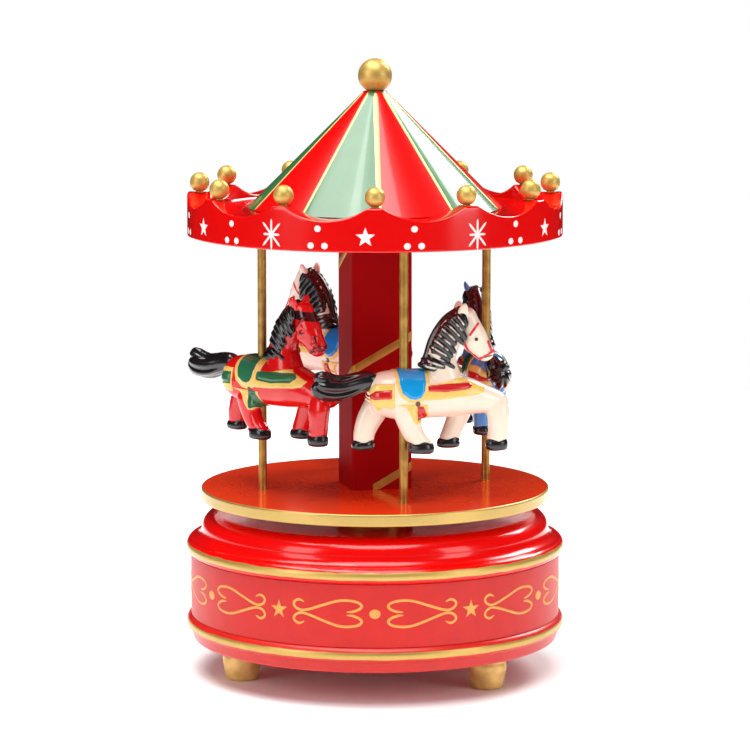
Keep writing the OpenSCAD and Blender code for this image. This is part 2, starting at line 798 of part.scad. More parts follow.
module idler_arbor() {
    color("silver") {
        along_x(x_gear - 2 * idler_arbor_end, idler_y, z_cyl)
            cylinder(r = idler_arbor_r, h = x_post + bracket_t + 3 * idler_arbor_end - x_gear);
        along_x(x_gear - idler_arbor_end, idler_y, z_cyl)
            linear_extrude(gear_t + 2 * idler_arbor_end) polygon(gear_outline(idler_teeth, 180 / idler_teeth));
    }
}

module idler_wheel() {
    color("gold") x_gear_wheel(x_wheel, idler_y, wheel_teeth, wheel_t, 180, idler_arbor_r);
}

// ---- governor body

module governor_worm() {
    turn = -360 / worm_lead;
    color("silver") {
        translate([worm_x, worm_y, z_worm])
            linear_extrude(worm_l, twist = turn * worm_l, slices = 48, $fn = 16) rotate(turn * worm_l / 2) {
                circle(r = worm_core_r, $fn = 16);
                square([2 * worm_outer_r, worm_thread_w], center = true);
            }
        translate([worm_x, worm_y, z_bed_top + spindle_foot + spindle_gap])
            cylinder(r = spindle_r, h = z_fan + fan_h - z_bed_top - spindle_foot - spindle_gap);
    }
}

module air_brake() {
    color("gainsboro")
    translate([worm_x, worm_y, z_fan]) difference() {
        union() {
            cylinder(r = fan_hub_r, h = fan_h);
            translate([-fan_w / 2, -fan_t / 2, 0]) cube([fan_w, fan_t, fan_h]);
        }
        translate([0, 0, -cut]) cylinder(r = spindle_r, h = fan_h + 2 * cut);
    }
}

// ---- nodes

base_plinth();
base_wall();
base_cap();
for (i = [1:feet]) foot(i - 1);
base_screws();
spindle_bush();
movement_bedplate();
movement_screws();
comb();
comb_screws();
inner_bearing();
outer_bearing();
governor_bracket();
ratchet_click();
spring_barrel();
barrel_cover();
mainspring();
output_shaft();
deck_hub();
hub_screws();
deck();
column();
canopy_rim();
canopy_cone();
finial_ball();
for (i = [1:scallops]) rim_ball(i - 1);
for (i = [1:poles]) pole(i - 1);
horse_front_white();
horse_left_red();
horse_rear_white();
horse_right_blue();
music_cylinder();
cylinder_arbor();
cylinder_pinion();
cylinder_gear();
idler_arbor();
idler_wheel();
governor_worm();
air_brake();
winding_arbor();
winding_key();
ratchet_wheel();
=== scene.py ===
# Looks of the carousel music box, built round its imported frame. Shapes are worked out in
# millimetres in the frame's own axes: +Z up, the front towards -Y, the turning axis at the
# origin. Azimuth 0 is the front and grows towards +X.
import math
import bmesh
import bpy
import numpy as np
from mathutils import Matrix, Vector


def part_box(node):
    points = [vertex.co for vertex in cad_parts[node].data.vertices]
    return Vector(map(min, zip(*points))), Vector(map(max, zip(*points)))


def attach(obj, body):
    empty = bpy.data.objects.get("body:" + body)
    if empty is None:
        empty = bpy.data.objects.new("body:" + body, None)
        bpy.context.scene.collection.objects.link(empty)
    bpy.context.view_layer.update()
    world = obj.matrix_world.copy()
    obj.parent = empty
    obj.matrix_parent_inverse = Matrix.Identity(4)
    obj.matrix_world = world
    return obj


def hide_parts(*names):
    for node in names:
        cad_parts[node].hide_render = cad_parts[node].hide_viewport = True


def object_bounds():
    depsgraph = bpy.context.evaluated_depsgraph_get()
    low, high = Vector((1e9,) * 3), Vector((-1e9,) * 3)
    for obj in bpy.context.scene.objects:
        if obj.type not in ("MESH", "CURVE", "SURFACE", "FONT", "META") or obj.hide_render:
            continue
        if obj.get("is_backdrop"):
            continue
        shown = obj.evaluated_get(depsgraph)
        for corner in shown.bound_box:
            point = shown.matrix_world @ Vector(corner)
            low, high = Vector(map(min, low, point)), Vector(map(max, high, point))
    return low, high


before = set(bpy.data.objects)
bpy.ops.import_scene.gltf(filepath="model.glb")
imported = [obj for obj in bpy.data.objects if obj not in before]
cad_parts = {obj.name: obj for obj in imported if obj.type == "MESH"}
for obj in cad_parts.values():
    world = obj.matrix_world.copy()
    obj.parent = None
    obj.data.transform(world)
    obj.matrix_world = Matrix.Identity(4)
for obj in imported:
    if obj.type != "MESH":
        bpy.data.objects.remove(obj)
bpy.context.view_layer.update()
mm = 0.001


# ---- numbers taken from the frame

def nodeBox(node):
    low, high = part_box(node)
    return np.array(low) / mm, np.array(high) / mm


plinthLow = nodeBox("base_plinth")[0]
wallLow, wallHigh = nodeBox("base_wall")
capLow, capHigh = nodeBox("base_cap")
deckLow, deckHigh = nodeBox("deck")
rimLow, rimHigh = nodeBox("canopy_rim")
coneLow, coneHigh = nodeBox("canopy_cone")
finialLow, finialHigh = nodeBox("finial_ball")
columnTurn = 14.0
poleRing = 33.5
poleRadius = 1.25
poleWear = 0.012
beadProud = 1.345
beadRound = 2.4
beadAngle = math.degrees(math.acos(1 - beadProud / beadRound))
wallThick = 5.8


# ---- curves and surfaces

# Points of an elliptical arc in a profile, angles in degrees
def arcPoints(x, z, rx, rz, start, end, count=14):
    t = np.radians(np.linspace(start, end, count + 1))
    return np.stack([x + rx * np.cos(t), z + rz * np.sin(t)], 1)


# A point at an azimuth in degrees and a radius about the turning axis
def placeAt(azimuth, radius, z):
    a = np.radians(azimuth)
    return np.stack(np.broadcast_arrays(radius * np.sin(a), -radius * np.cos(a), z), -1)


# Catmull-Rom curve through the rows: a cubic blend of each four neighbouring rows
def curveThrough(rows, count):
    rows = np.asarray(rows, float)
    padded = np.vstack([2 * rows[0] - rows[1], rows, 2 * rows[-1] - rows[-2]])
    t = np.linspace(0, len(rows) - 1, count)
    k = np.minimum(t.astype(int), len(rows) - 2)
    f = (t - k)[:, None]
    a, b, c, d = (padded[k + j] for j in range(4))
    return 0.5 * (2 * b + (c - a) * f + (2 * a - 5 * b + 4 * c - d) * f ** 2
                  + (3 * b - a - 3 * c + d) * f ** 3)


# Quads between the rows and columns of a grid of points p(u, v)
def sheet(grid, closeU=False, closeV=False):
    rows, columns = grid.shape[:2]
    index = np.arange(rows * columns).reshape(rows, columns)
    if closeU:
        index = np.vstack([index, index[:1]])
    if closeV:
        index = np.hstack([index, index[:, :1]])
    quads = np.stack([index[:-1, :-1], index[1:, :-1], index[1:, 1:], index[:-1, 1:]], -1)
    return grid.reshape(-1, 3), quads.reshape(-1, 4)


longRun = 6  # a stretch is long from this many times the reach


# Extra points close to both ends of each long straight stretch, so that flats shade flat
def supported(profile, reach=0.25):
    profile = np.asarray(profile, float)
    step = np.diff(profile, axis=0)
    length = np.linalg.norm(step, axis=1)
    pieces = [profile[:1]]
    for start, run, size in zip(profile[:-1], step, length):
        if size > longRun * reach:
            pieces.append(start + run * np.array([[reach / size], [1 - reach / size]]))
        pieces.append((start + run)[None])
    return np.vstack(pieces)


# A profile of (radius, height) turned about an upright axis: x = cx + r cos v, y = cy + r sin v
def turned(profile, centre=(0.0, 0.0), sides=192):
    profile = supported(profile)
    v = np.linspace(0, 2 * np.pi, sides, endpoint=False)
    r, z = profile[:, :1], profile[:, 1:]
    grid = np.stack(np.broadcast_arrays(centre[0] + r * np.cos(v), centre[1] + r * np.sin(v), z), -1)
    return sheet(grid, closeV=True)


# An oval carried along a curve. Each row is x, y, z, the half size in the upright plane and
# the half size across it; a ring is centre + across * a cos t + side * b sin t
def limb(rows, rings=36, sides=28, square=2.3, ripple=None):
    path = curveThrough(rows, rings)
    path[:, 3:] = np.maximum(path[:, 3:], 0.05)
    centre = path[:, :3]
    along = np.gradient(centre, axis=0)
    along /= np.linalg.norm(along, axis=1)[:, None]
    side = np.array([0.0, 1.0, 0.0])
    across = np.cross(side, along)
    across /= np.linalg.norm(across, axis=1)[:, None]
    t = np.linspace(0, 2 * np.pi, sides, endpoint=False)
    cosine = np.sign(np.cos(t)) * np.abs(np.cos(t)) ** (2 / square)
    sine = np.sign(np.sin(t)) * np.abs(np.sin(t)) ** (2 / square)
    swell = np.ones((rings, sides)) if ripple is None else ripple(np.linspace(0, 1, rings)[:, None], t)
    a = path[:, 3:4] * cosine * swell
    b = path[:, 4:5] * sine * swell
    grid = centre[:, None] + across[:, None] * a[..., None] + side * b[..., None]
    ends = np.repeat(centre[[0, -1]][:, None], sides, 1)
    return sheet(np.concatenate([ends[:1], grid, ends[1:]]), closeV=True)


# One mesh object from several (points, quads) pairs, doubles merged and faces turned outwards
def meshObject(name, parts, sharp=35):
    points = np.concatenate([p for p, q in parts])
    starts = np.cumsum([0] + [len(p) for p, q in parts[:-1]])
    quads = np.concatenate([q + s for (p, q), s in zip(parts, starts)])
    mesh = bpy.data.meshes.new(name)
    mesh.from_pydata((points * mm).tolist(), [], quads.tolist())
    solid = bmesh.new()
    solid.from_mesh(mesh)
    bmesh.ops.remove_doubles(solid, verts=solid.verts, dist=0.002 * mm)
    bmesh.ops.dissolve_degenerate(solid, edges=solid.edges, dist=0.0005 * mm)
    bmesh.ops.recalc_face_normals(solid, faces=solid.faces)
    solid.to_mesh(mesh)
    solid.free()
    obj = bpy.data.objects.new(name, mesh)
    bpy.context.scene.collection.objects.link(obj)
    shade(obj, sharp)
    return obj


def shade(obj, sharp):
    obj.data.shade_smooth()
    obj.data.set_sharp_from_angle(angle=math.radians(sharp))


# Bakes the live modifiers into the mesh
def bakeModifiers(obj):
    bpy.context.view_layer.update()
    graph = bpy.context.evaluated_depsgraph_get()
    mesh = bpy.data.meshes.new_from_object(obj.evaluated_get(graph))
    obj.modifiers.clear()
    old = obj.data
    obj.data = mesh
    mesh.name = obj.name
    bpy.data.meshes.remove(old)


# Gives a piece its material and its body, and hides the CAD nodes that it stands for
def settle(obj, material, body, slot, *nodes):
    obj.data.materials.clear()
    obj.data.materials.append(material)
    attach(obj, body)
    if nodes:
        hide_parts(*nodes)
    return obj


# ---- shader wiring

# A socket whose arithmetic adds Math nodes to its tree
class Wire:
    def __init__(self, tree, socket=None):
        self.tree = tree
        self.socket = socket

    def add(self, kind, settings=None, sockets=None, out=0):
        node = self.tree.nodes.new(kind)
        for key, value in (settings or {}).items():
            setattr(node, key, value)
        for key, value in (sockets or {}).items():
            if isinstance(value, Wire):
                self.tree.links.new(value.socket, node.inputs[key])
            else:
                node.inputs[key].default_value = value
        return Wire(self.tree, node.outputs[out])

    def math(self, operation, *values):
        return self.add("ShaderNodeMath", {"operation": operation}, dict(enumerate(values)))

    def __add__(self, other):
        return self.math("ADD", self, other)

    def __radd__(self, other):
        return self.math("ADD", other, self)

    def __sub__(self, other):
        return self.math("SUBTRACT", self, other)

    def __rsub__(self, other):
        return self.math("SUBTRACT", other, self)

    def __mul__(self, other):
        return self.math("MULTIPLY", self, other)

    def __rmul__(self, other):
        return self.math("MULTIPLY", other, self)

    def __truediv__(self, other):
        return self.math("DIVIDE", self, other)

    def __gt__(self, other):
        return self.math("GREATER_THAN", self, other)

    def root(self):
        return self.math("SQRT", self)

    # 0 at low, 1 at high, smooth between
    def ramp(self, low, high):
        return self.add("ShaderNodeMapRange", {"interpolation_type": "SMOOTHSTEP"},
                        {"Value": self, "From Min": low, "From Max": high})

    # Cloudy pattern from this place, grain is the size of its patches in millimetres
    def clouds(self, grain, detail=2.0, stretch=(1, 1, 1)):
        place = self.add("ShaderNodeMapping", {}, {"Vector": self, "Scale": stretch})
        size = {"Vector": place, "Scale": 1 / (grain * mm), "Detail": detail}
        return self.add("ShaderNodeTexNoise", {}, size)

    def parts(self):
        node = self.tree.nodes.new("ShaderNodeSeparateXYZ")
        self.tree.links.new(self.socket, node.inputs[0])
        return [Wire(self.tree, output) / mm for output in node.outputs]

    # This mask lays one colour over another
    def over(self, top, under, blend="MIX"):
        return self.add("ShaderNodeMix", {"data_type": "RGBA", "blend_type": blend, "clamp_factor": True},
                        {0: self, 6: under, 7: top}, out=2)


# Linear colour from the three numbers of a paint chart, 0 to 255
def chart(red, green, blue):
    values = np.array([red, green, blue]) / 255
    linear = np.where(values <= 0.04045, values / 12.92, ((values + 0.055) / 1.055) ** 2.4)
    return (*linear.tolist(), 1.0)


# A material: pattern gives the base colour and what is metallic from the place on the piece,
# and the look says how rough, glossy, uneven and grained the surface is
def finish(name, look, pattern=None):
    material = bpy.data.materials.new(name)
    material.use_nodes = True
    tree = material.node_tree
    shader = next(node for node in tree.nodes if node.type == "BSDF_PRINCIPLED")
    start = Wire(tree)
    place = start.add("ShaderNodeTexCoord", out="Object")
    patches = place.clouds(look.get("patch", 9), 3.0)
    grain = place.clouds(look.get("grain", 0.9), 2.0, look.get("stretch", (1, 1, 1)))
    dust = place.clouds(look.get("speck", 0.35), 1.0).ramp(0.66, 0.78)
    base, metal, rough = look.get("colour"), look.get("metal", 0.0), look["rough"]
    if pattern:
        base, metal, rough = pattern(place, look)
    uneven = patches.ramp(0.3, 0.7) * look.get("uneven", 0.25)
    base = uneven.over(look.get("shadow", (0.72, 0.66, 0.66, 1)), base, "MULTIPLY")
    base = (dust * look.get("specks", 0.1)).over(look.get("speckColour", (0.5, 0.42, 0.4, 1)), base,
                                                 "MULTIPLY")
    links = {"Base Color": base, "Roughness": rough + (grain - 0.5) * look.get("roughSpan", 0.08)
             + dust * look.get("dustRough", 0.06)}
    if isinstance(metal, Wire):
        links["Metallic"] = metal
    else:
        shader.inputs["Metallic"].default_value = metal
    height = grain * look.get("peel", 0.5) + patches * look.get("wave", 0.8)
    bump = {"Strength": look.get("bump", 0.35), "Distance": look.get("depth", 0.03) * mm, "Height": height}
    links["Normal"] = height.add("ShaderNodeBump", {}, bump)
    for key, wire in links.items():
        tree.links.new(wire.socket, shader.inputs[key])
    shader.inputs["Coat Weight"].default_value = look.get("coat", 0.0)
    shader.inputs["Coat Roughness"].default_value = look.get("coatRough", 0.05)
    shader.inputs["Specular IOR Level"].default_value = look.get("specular", 0.5)
    return material


# ---- paints

lacquerLook = {"colour": chart(214, 3, 3), "rough": 0.2, "coat": 0.55, "coatRough": 0.045, "patch": 14,
               "grain": 1.3, "peel": 0.4, "wave": 1.2, "depth": 0.05, "uneven": 0.14, "specular": 0.4}
satinLook = {"colour": chart(198, 30, 24), "rough": 0.42, "coat": 0.06, "coatRough": 0.3,
             "specular": 0.32, "patch": 5, "grain": 0.5, "peel": 1.0, "wave": 0.6, "depth": 0.045,
             "uneven": 0.3, "roughSpan": 0.16, "stretch": (1, 1, 3), "specks": 0.25}
goldLook = {"colour": chart(214, 180, 98), "rough": 0.46, "metal": 0.62, "patch": 2.6, "grain": 0.22,
            "peel": 1.2, "wave": 0.4, "depth": 0.04, "uneven": 0.35, "roughSpan": 0.2,
            "shadow": (0.70, 0.60, 0.45, 1), "specks": 0.35, "speckColour": (0.55, 0.40, 0.22, 1)}
antiqueLook = {"colour": chart(190, 152, 76), "rough": 0.4, "metal": 0.7, "patch": 3.2, "grain": 0.3,
               "peel": 1.2, "wave": 1.1, "depth": 0.05, "uneven": 0.75, "roughSpan": 0.3,
               "shadow": (0.52, 0.40, 0.26, 1), "specks": 0.5, "speckColour": (0.35, 0.22, 0.12, 1)}

satinRed = finish("satinRed", satinLook)
goldPaint = finish("goldPaint", goldLook)
antiqueGold = finish("antiqueGold", antiqueLook)
# Painted light: the feet take a lighter, less metallic copy of the poles' antique gold, brightening feet
# that stand in shade
footGoldPaintedLight = finish("footGoldPaintedLight", dict(antiqueLook, colour=chart(232, 196, 118), metal=0.4, uneven=0.5))


# Gold with fine darker flakes
def flakedGold(place):
    return (place.clouds(0.25, 1.0) * 0.6).over(chart(176, 140, 66), goldLook["colour"])


# 1 within soft of each side of a limit that the value passes
def past(value, limit, soft):
    return value.ramp(limit - soft, limit + soft)


# Red turned wood with a gold band between two heights, its edge a little hand-drawn
def bandedPattern(place, look):
    x, y, z = place.parts()
    waver = (place.clouds(6, 1.0) - 0.5) * look["waver"]
    low, high = look["band"]
    soft = 0.12
    inBand = past(z + waver, low, soft) * (1 - past(z + waver, high, soft))
    radius = (x * x + y * y).root()
    inBand = inBand * past(radius, look["inner"], 0.1)
    rough = look["rough"] + inBand * look["bandRough"]
    return inBand.over(flakedGold(place), look["colour"]), inBand * 0.7, rough


# ---- base: plinth, wall and cap

baseTurning = {"floorEdge": 1.2, "floorSet": 0.5, "bandWaver": 0.5, "coveSize": 3.4, "coveOut": 0.2,
               "coveRise": 0.4, "domeX": 5.0, "domeZ": 4.6, "jointGroove": 0.18, "beadEnd": 58,
               "capLip": 1.6, "capThick": 4.0, "bushHole": 4.05, "keyHole": 3.0, "screwHole": 2.25,
               "screwDepth": 1.7, "plinthBand": (-1.0, 0.95), "capBand": (-0.85, 1.25)}


# A straight hole through the mesh, cut with an exact boolean
def drill(obj, holes):
    cutters = []
    for x, y, radius, low, high in holes:
        cutters.append(turned([[0, low], [radius, low], [radius, high], [0, high]], (x, y), 40))
    cutter = meshObject("cutter", cutters)
    cut = obj.modifiers.new("cut", "BOOLEAN")
    cut.operation = "DIFFERENCE"
    cut.solver = "EXACT"
    cut.object = cutter
    bakeModifiers(obj)
    bpy.data.objects.remove(cutter)


def makePlinth():
    turning = baseTurning
    floor, top = plinthLow[2], wallLow[2]
    wallRadius = wallHigh[0]
    edge = turning["floorEdge"]
    crest = top - beadRound * math.sin(math.radians(beadAngle))
    profile = np.vstack([
        [[0, floor]],
        arcPoints(wallRadius - turning["floorSet"] - edge, floor + edge, edge, edge, -90, 0),
        arcPoints(wallRadius + beadProud - beadRound, crest, beadRound, beadRound, -beadAngle,
                  beadAngle - 4, 24),
        [[wallRadius - turning["jointGroove"], top], [0, top]]])
    holes = [(0, 0, turning["keyHole"], floor - 1, top + 1)]
    for node in ("base_screws", "movement_screws"):
        for x, y in screwPlaces(node):
            holes.append((x, y, turning["screwHole"], floor - 1, floor + turning["screwDepth"]))
    plinth = meshObject("plinth", [turned(profile)])
    drill(plinth, holes)
    shade(plinth, 30)
    low, high = turning["plinthBand"]
    look = dict(satinLook, colour=chart(202, 32, 24), rough=0.3, coat=0.25,
                band=(crest + low, crest + high),
                waver=turning["bandWaver"], inner=wallRadius + 0.35, bandRough=0.08)
    settle(plinth, finish("plinthPaint", look, bandedPattern), "base", "plinth_red", "base_plinth")


screwSpread = 6  # the points of one screw lie within this distance of each other


# Centres of the round heads of a group of screws, found from the node's own vertices
def screwPlaces(node):
    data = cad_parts[node].data
    points = np.empty(len(data.vertices) * 3)
    data.vertices.foreach_get("co", points)
    points = points.reshape(-1, 3)[:, :2] / mm
    places = []
    while len(points):
        near = np.linalg.norm(points - points[0], axis=1) < screwSpread
        low, high = points[near].min(0), points[near].max(0)
        places.append((low + high) / 2)
        points = points[~near]
    return places


def makeWall():
    outer, low, high = wallHigh[0], wallLow[2], wallHigh[2]
    inner = outer - wallThick
    groove = baseTurning["jointGroove"]
    profile = [[inner, low], [outer - groove, low], [outer, low + groove], [outer, high - groove],
               [outer - groove, high], [inner, high]]
    wall = meshObject("wall", [turned(profile + profile[:1])])
    settle(wall, satinRed, "base", "wall_red", "base_wall")


def makeCap():
    turning = baseTurning
    wallRadius, low, high = wallHigh[0], capLow[2], capHigh[2]
    crest = low + beadRound * math.sin(math.radians(beadAngle))
    beadX = wallRadius + beadProud - beadRound
    beadTop = crest + beadRound * math.sin(math.radians(turning["beadEnd"]))
    cove = turning["coveSize"]
    coveX = wallRadius + turning["coveOut"]
    domeX = coveX - cove - turning["domeX"]
    domeZ = high - turning["domeZ"]
    coveHigh = domeZ + turning["coveRise"]
    inner = wallRadius - wallThick - turning["capLip"]
    under = high - turning["capThick"]
    hole = turning["bushHole"]
    profile = np.vstack([
        [[inner, low], [wallRadius - turning["jointGroove"], low]],
        arcPoints(beadX, crest, beadRound, beadRound, -beadAngle + 4, turning["beadEnd"], 24),
        arcPoints(coveX, coveHigh, cove, coveHigh - beadTop, 266, 184, 20),
        arcPoints(domeX, domeZ, turning["domeX"], turning["domeZ"], 0, 90, 24),
        [[hole, high], [hole, under], [inner, under], [inner, low]]])
    cap = meshObject("cap", [turned(profile)], 28)
    bandLow, bandHigh = turning["capBand"]
    look = dict(lacquerLook, band=(crest + bandLow, crest + bandHigh), waver=turning["bandWaver"],
                inner=wallRadius - 0.4, bandRough=0.24, coat=0.4, specular=0.3)
    settle(cap, finish("capPaint", look, bandedPattern), "base", "lacquer_red", "base_cap")


footTurning = {"taper": 0.75, "edge": 1.3, "bellySet": 0.5, "bellyRise": 1.6, "bellyAt": 0.62, "gap": 0.02}


def makeFeet():
    turning = footTurning
    for i in (1, 2, 3):
        low, high = nodeBox(f"foot_{i}")
        centre = (low[:2] + high[:2]) / 2
        radius = (high[0] - low[0]) / 2
        top = plinthLow[2]
        edge, belly = turning["edge"], turning["bellySet"]
        profile = np.vstack([
            [[0, low[2]]],
            arcPoints(radius - turning["taper"] - edge, low[2] + edge, edge, edge, -90, 0, 8),
            arcPoints(radius - belly, low[2] + top * turning["bellyAt"], belly, turning["bellyRise"], -30,
                      60, 6),
            [[radius - belly / 2, top - 0.5], [radius - 0.4, top - turning["gap"]],
             [0, top - turning["gap"]]]])
        foot = meshObject(f"foot{i}", [turned(profile, centre, 72)])
        # the lighter antique gold on the feet is painted light against the shade they stand in
        settle(foot, footGoldPaintedLight, "base", "antique_gold", f"foot_{i}")


makePlinth()
makeWall()
makeCap()
makeFeet()
print("base turned")


# ---- painted ornament, laid on a round face as thin lens-shaped strokes

inkThickness = 0.09


# Point on a round wall from the distance along it, the height and how proud it stands
def onWall(radius, u, v, h):
    a = u / radius
    return np.stack([(radius + h) * np.sin(a), -(radius + h) * np.cos(a), v], -1)


# A stroke: its centre line is a smooth curve, its width swells between its two ends, and its
# section is a thin lens that sinks a little into the wall
def stroke(rows, width, project, count=40, taper=0.35):
    line = curveThrough(rows, count)
    along = np.gradient(line, axis=0)
    along /= np.maximum(np.linalg.norm(along, axis=1)[:, None], 1e-9)
    across = np.stack([-along[:, 1], along[:, 0]], 1)
    t = np.linspace(0, 1, count)
    swell = np.minimum(1, (np.minimum(t, 1 - t) / 0.09 + 0.02) ** taper) * width / 2
    section = np.array([[-1, -0.5], [-0.7, 0.65], [0, 1], [0.7, 0.65], [1, -0.5], [0, -1]])
    flat = line[:, None] + across[:, None] * (swell[:, None] * section[:, 0])[..., None]
    height = np.broadcast_to(section[:, 1] * inkThickness, flat.shape[:2])
    grid = project(flat[..., 0], flat[..., 1], height)
    ends = grid[[0, -1]].mean(1, keepdims=True).repeat(len(section), 1)
    return sheet(np.concatenate([ends[:1], grid, ends[1:]]), closeV=True)


# A filled spot: the outline is drawn together towards its centre in rings, over and under
def spot(outline, centre, project):
    rings = np.array([[0, 1], [0.55, 0.95], [0.88, 0.6], [1, -0.5], [0.6, -1], [0, -1]])
    flat = centre + rings[:, None, :1] * (outline - centre)[None]
    height = np.broadcast_to(rings[:, 1:] * inkThickness, flat.shape[:2])
    return sheet(project(flat[..., 0], flat[..., 1], height), closeV=True)


def starOutline(u, v, outer, inner, points=5, split=3):
    t = np.pi / 2 + np.pi * np.arange(2 * points + 1) / points
    r = np.where(np.arange(2 * points + 1) % 2 == 0, outer, inner)
    corners = np.stack([u + r * np.cos(t), v + r * np.sin(t)], 1)
    steps = np.linspace(0, 1, split, endpoint=False)[None, :, None]
    return (corners[:-1, None] * (1 - steps) + corners[1:, None] * steps).reshape(-1, 2)


def roundOutline(u, v, ru, rv, sides=20):
    t = np.linspace(0, 2 * np.pi, sides, endpoint=False)
    return np.stack([u + ru * np.cos(t), v + rv * np.sin(t)], 1)


scroll = {"middle": 9.7, "stroke": 0.82, "star": 2.9, "dot": (1.65, 1.4), "repeat": 6,
          "curve": [(7.9, 0.45), (6.2, 0.6), (4.4, 1.3), (3.7, 2.3), (4.9, 3.3), (8.0, 3.75),
                    (11.0, 3.4), (14.8, 2.15), (18.9, 0.75), (21.2, 0.4), (22.9, 1.1), (23.4, 2.2),
                    (22.8, 3.0), (21.6, 3.35), (20.2, 2.75)]}


def makeScrolls():
    radius = wallHigh[0]
    middle = wallLow[2] + scroll["middle"]
    step = 2 * np.pi * radius / scroll["repeat"]
    curve = np.array(scroll["curve"])

    def project(u, v, h):
        return onWall(radius, u, v, h)

    parts = []
    for i in range(scroll["repeat"]):
        centre = i * step
        parts.append(spot(roundOutline(centre, middle, *scroll["dot"]), np.array([centre, middle]),
                          project))
        star = centre + step / 2
        parts.append(spot(starOutline(star, middle, scroll["star"], scroll["star"] * 0.39),
                          np.array([star, middle]), project))
        for side in (-1, 1):
            for flip in (-1, 1):
                line = np.stack([centre + side * curve[:, 0], middle + flip * curve[:, 1]], 1)
                parts.append(stroke(line, scroll["stroke"], project, 72))
    ink = meshObject("wallScrolls", parts, 60)
    look = dict(goldLook, colour=chart(232, 160, 82), metal=0.35, rough=0.45, uneven=0.35, depth=0.02)
    settle(ink, finish("scrollInk", look), "base", "gold_paint")


makeScrolls()


# ---- deck, column and poles

deckLook = {"colour": chart(252, 66, 24), "rough": 0.16, "coat": 0.5, "coatRough": 0.04, "patch": 12,
            "grain": 1.6, "peel": 0.3, "wave": 1.0, "depth": 0.03, "uneven": 0.18}
columnLook = dict(lacquerLook, colour=chart(156, 2, 6), rough=0.6, coat=0.0, specular=0.05, uneven=0.3,
                  patch=8)


# Red top and underside, gold on the edge
def deckPattern(place, look):
    x, y = place.parts()[:2]
    radius = (x * x + y * y).root() + (place.clouds(5, 1.0) - 0.5) * 0.4
    edge = radius.ramp(deckHigh[0] - 0.55, deckHigh[0] - 0.3)
    return edge.over(flakedGold(place), look["colour"]), edge * 0.7, look["rough"] + edge * 0.2


def makeDeck():
    low, high, radius, edge = deckLow[2], deckHigh[2], deckHigh[0], 0.5
    profile = np.vstack([
        [[0, low]],
        arcPoints(radius - edge, low + edge, edge, edge, -90, 0, 6),
        arcPoints(radius - edge, high - edge, edge, edge, 0, 90, 6),
        [[0, high]]])
    deck = meshObject("deck", [turned(profile, sides=240)])
    settle(deck, finish("deckPaint", deckLook, deckPattern), "carousel", "deck_red", "deck")


columnTurning = {"width": 17.8, "corner": 0.9, "stripe": 2.4, "proud": 0.07, "pitch": 38.0,
                 "stripeLow": 56.4}


# Point on the column's round-cornered square from the distance round it, the height and how proud
def onColumn(s, z, h):
    width, corner = columnTurning["width"], columnTurning["corner"]
    flat = width - 2 * corner
    bend = corner * np.pi / 2
    side = flat + bend
    s = s + flat / 2
    face = np.floor(s / side)
    along = s - face * side
    turn = np.clip((along - flat) / bend, 0, 1) * np.pi / 2
    run = np.minimum(along, flat) - flat / 2
    x = run + (corner + h) * np.sin(turn)
    y = -(flat / 2) - (corner + h) * np.cos(turn)
    a = face * np.pi / 2 + np.radians(columnTurn)
    return np.stack([x * np.cos(a) - y * np.sin(a), x * np.sin(a) + y * np.cos(a), z], -1)


def columnGirth():
    return 4 * (columnTurning["width"] - 2 * columnTurning["corner"]) + 2 * np.pi * columnTurning["corner"]


def makeColumn():
    low, high = deckHigh[2], rimLow[2]
    girth = columnGirth()
    s = np.linspace(0, girth, 160, endpoint=False)
    z = np.array([low, low, high, high])[:, None]
    shell = onColumn(s[None] + 0 * z, z + 0 * s[None], np.zeros((4, 160)))
    shell[0] = [0, 0, low]
    shell[3] = [0, 0, high]
    column = meshObject("column", [sheet(shell, closeV=True)])
    settle(column, finish("columnPaint", columnLook), "carousel", "column_red", "column")
    pitch = columnTurning["pitch"]
    slope = math.atan2(pitch, girth)
    turns = (high - columnTurning["stripeLow"]) / pitch
    along = np.linspace(-0.04, turns - 0.04, 420)[:, None] * girth
    section = np.array([[-1, -0.5], [-0.85, 0.8], [0, 1], [0.85, 0.8], [1, -0.5], [0, -1]])
    rise = columnTurning["stripeLow"] + along * pitch / girth
    half = columnTurning["stripe"] / 2 / math.cos(slope)
    height = np.clip(rise + section[:, 0] * half, low + 0.05, high - 0.05)
    grid = onColumn(along + 0 * height, height, 0 * along + section[:, 1] * columnTurning["proud"])
    ends = grid[[0, -1]].mean(1, keepdims=True).repeat(len(section), 1)
    stripe = meshObject("columnStripe", [sheet(np.concatenate([ends[:1], grid, ends[1:]]), closeV=True)],
                        50)
    look = dict(goldLook, colour=chart(206, 158, 72), uneven=0.5)
    settle(stripe, finish("stripePaint", look), "carousel", "gold_paint")


def makePoles():
    low, high = deckHigh[2] - 1, rimLow[2] + 1
    for i in range(4):
        centre = placeAt(columnTurn + 90 * i, poleRing, 0.0)
        z = np.linspace(low, high, 70)
        radius = poleRadius - poleWear * (1 + np.sin(z * 0.9 + i) * np.cos(z * 0.37))
        profile = np.vstack([[[0, low]], np.stack([radius, z], 1), [[0, high]]])
        pole = meshObject(f"pole{i + 1}", [turned(profile, centre[:2], 40)])
        settle(pole, antiqueGold, "carousel", "antique_gold", f"pole_{i + 1}")


makeDeck()
makeColumn()
makePoles()
print("deck, column and poles made")


# ---- canopy

canopy = {"scallops": 12, "depth": 3.6, "round": 21.5, "wall": 7.2, "edge": 0.7, "lowEdge": 0.4,
          "guard": 0.25, "corner": 0.3, "tip": 3.2, "ledge": 0.25, "panels": 10, "panelTurn": 2.0,
          "line": 0.95, "frontLine": 1.7}


# Height of the rim's top: a round scallop between each two balls, by distance from its middle
def scallopTop(azimuth, radius):
    step = 360 / canopy["scallops"]
    off = np.mod(azimuth, step) - step / 2
    s = radius * np.sin(np.radians(off))
    dip = np.sqrt(canopy["round"] ** 2 - s ** 2) - (canopy["round"] - canopy["depth"])
    return rimHigh[2] - np.logaddexp(0, dip * 25) / 25


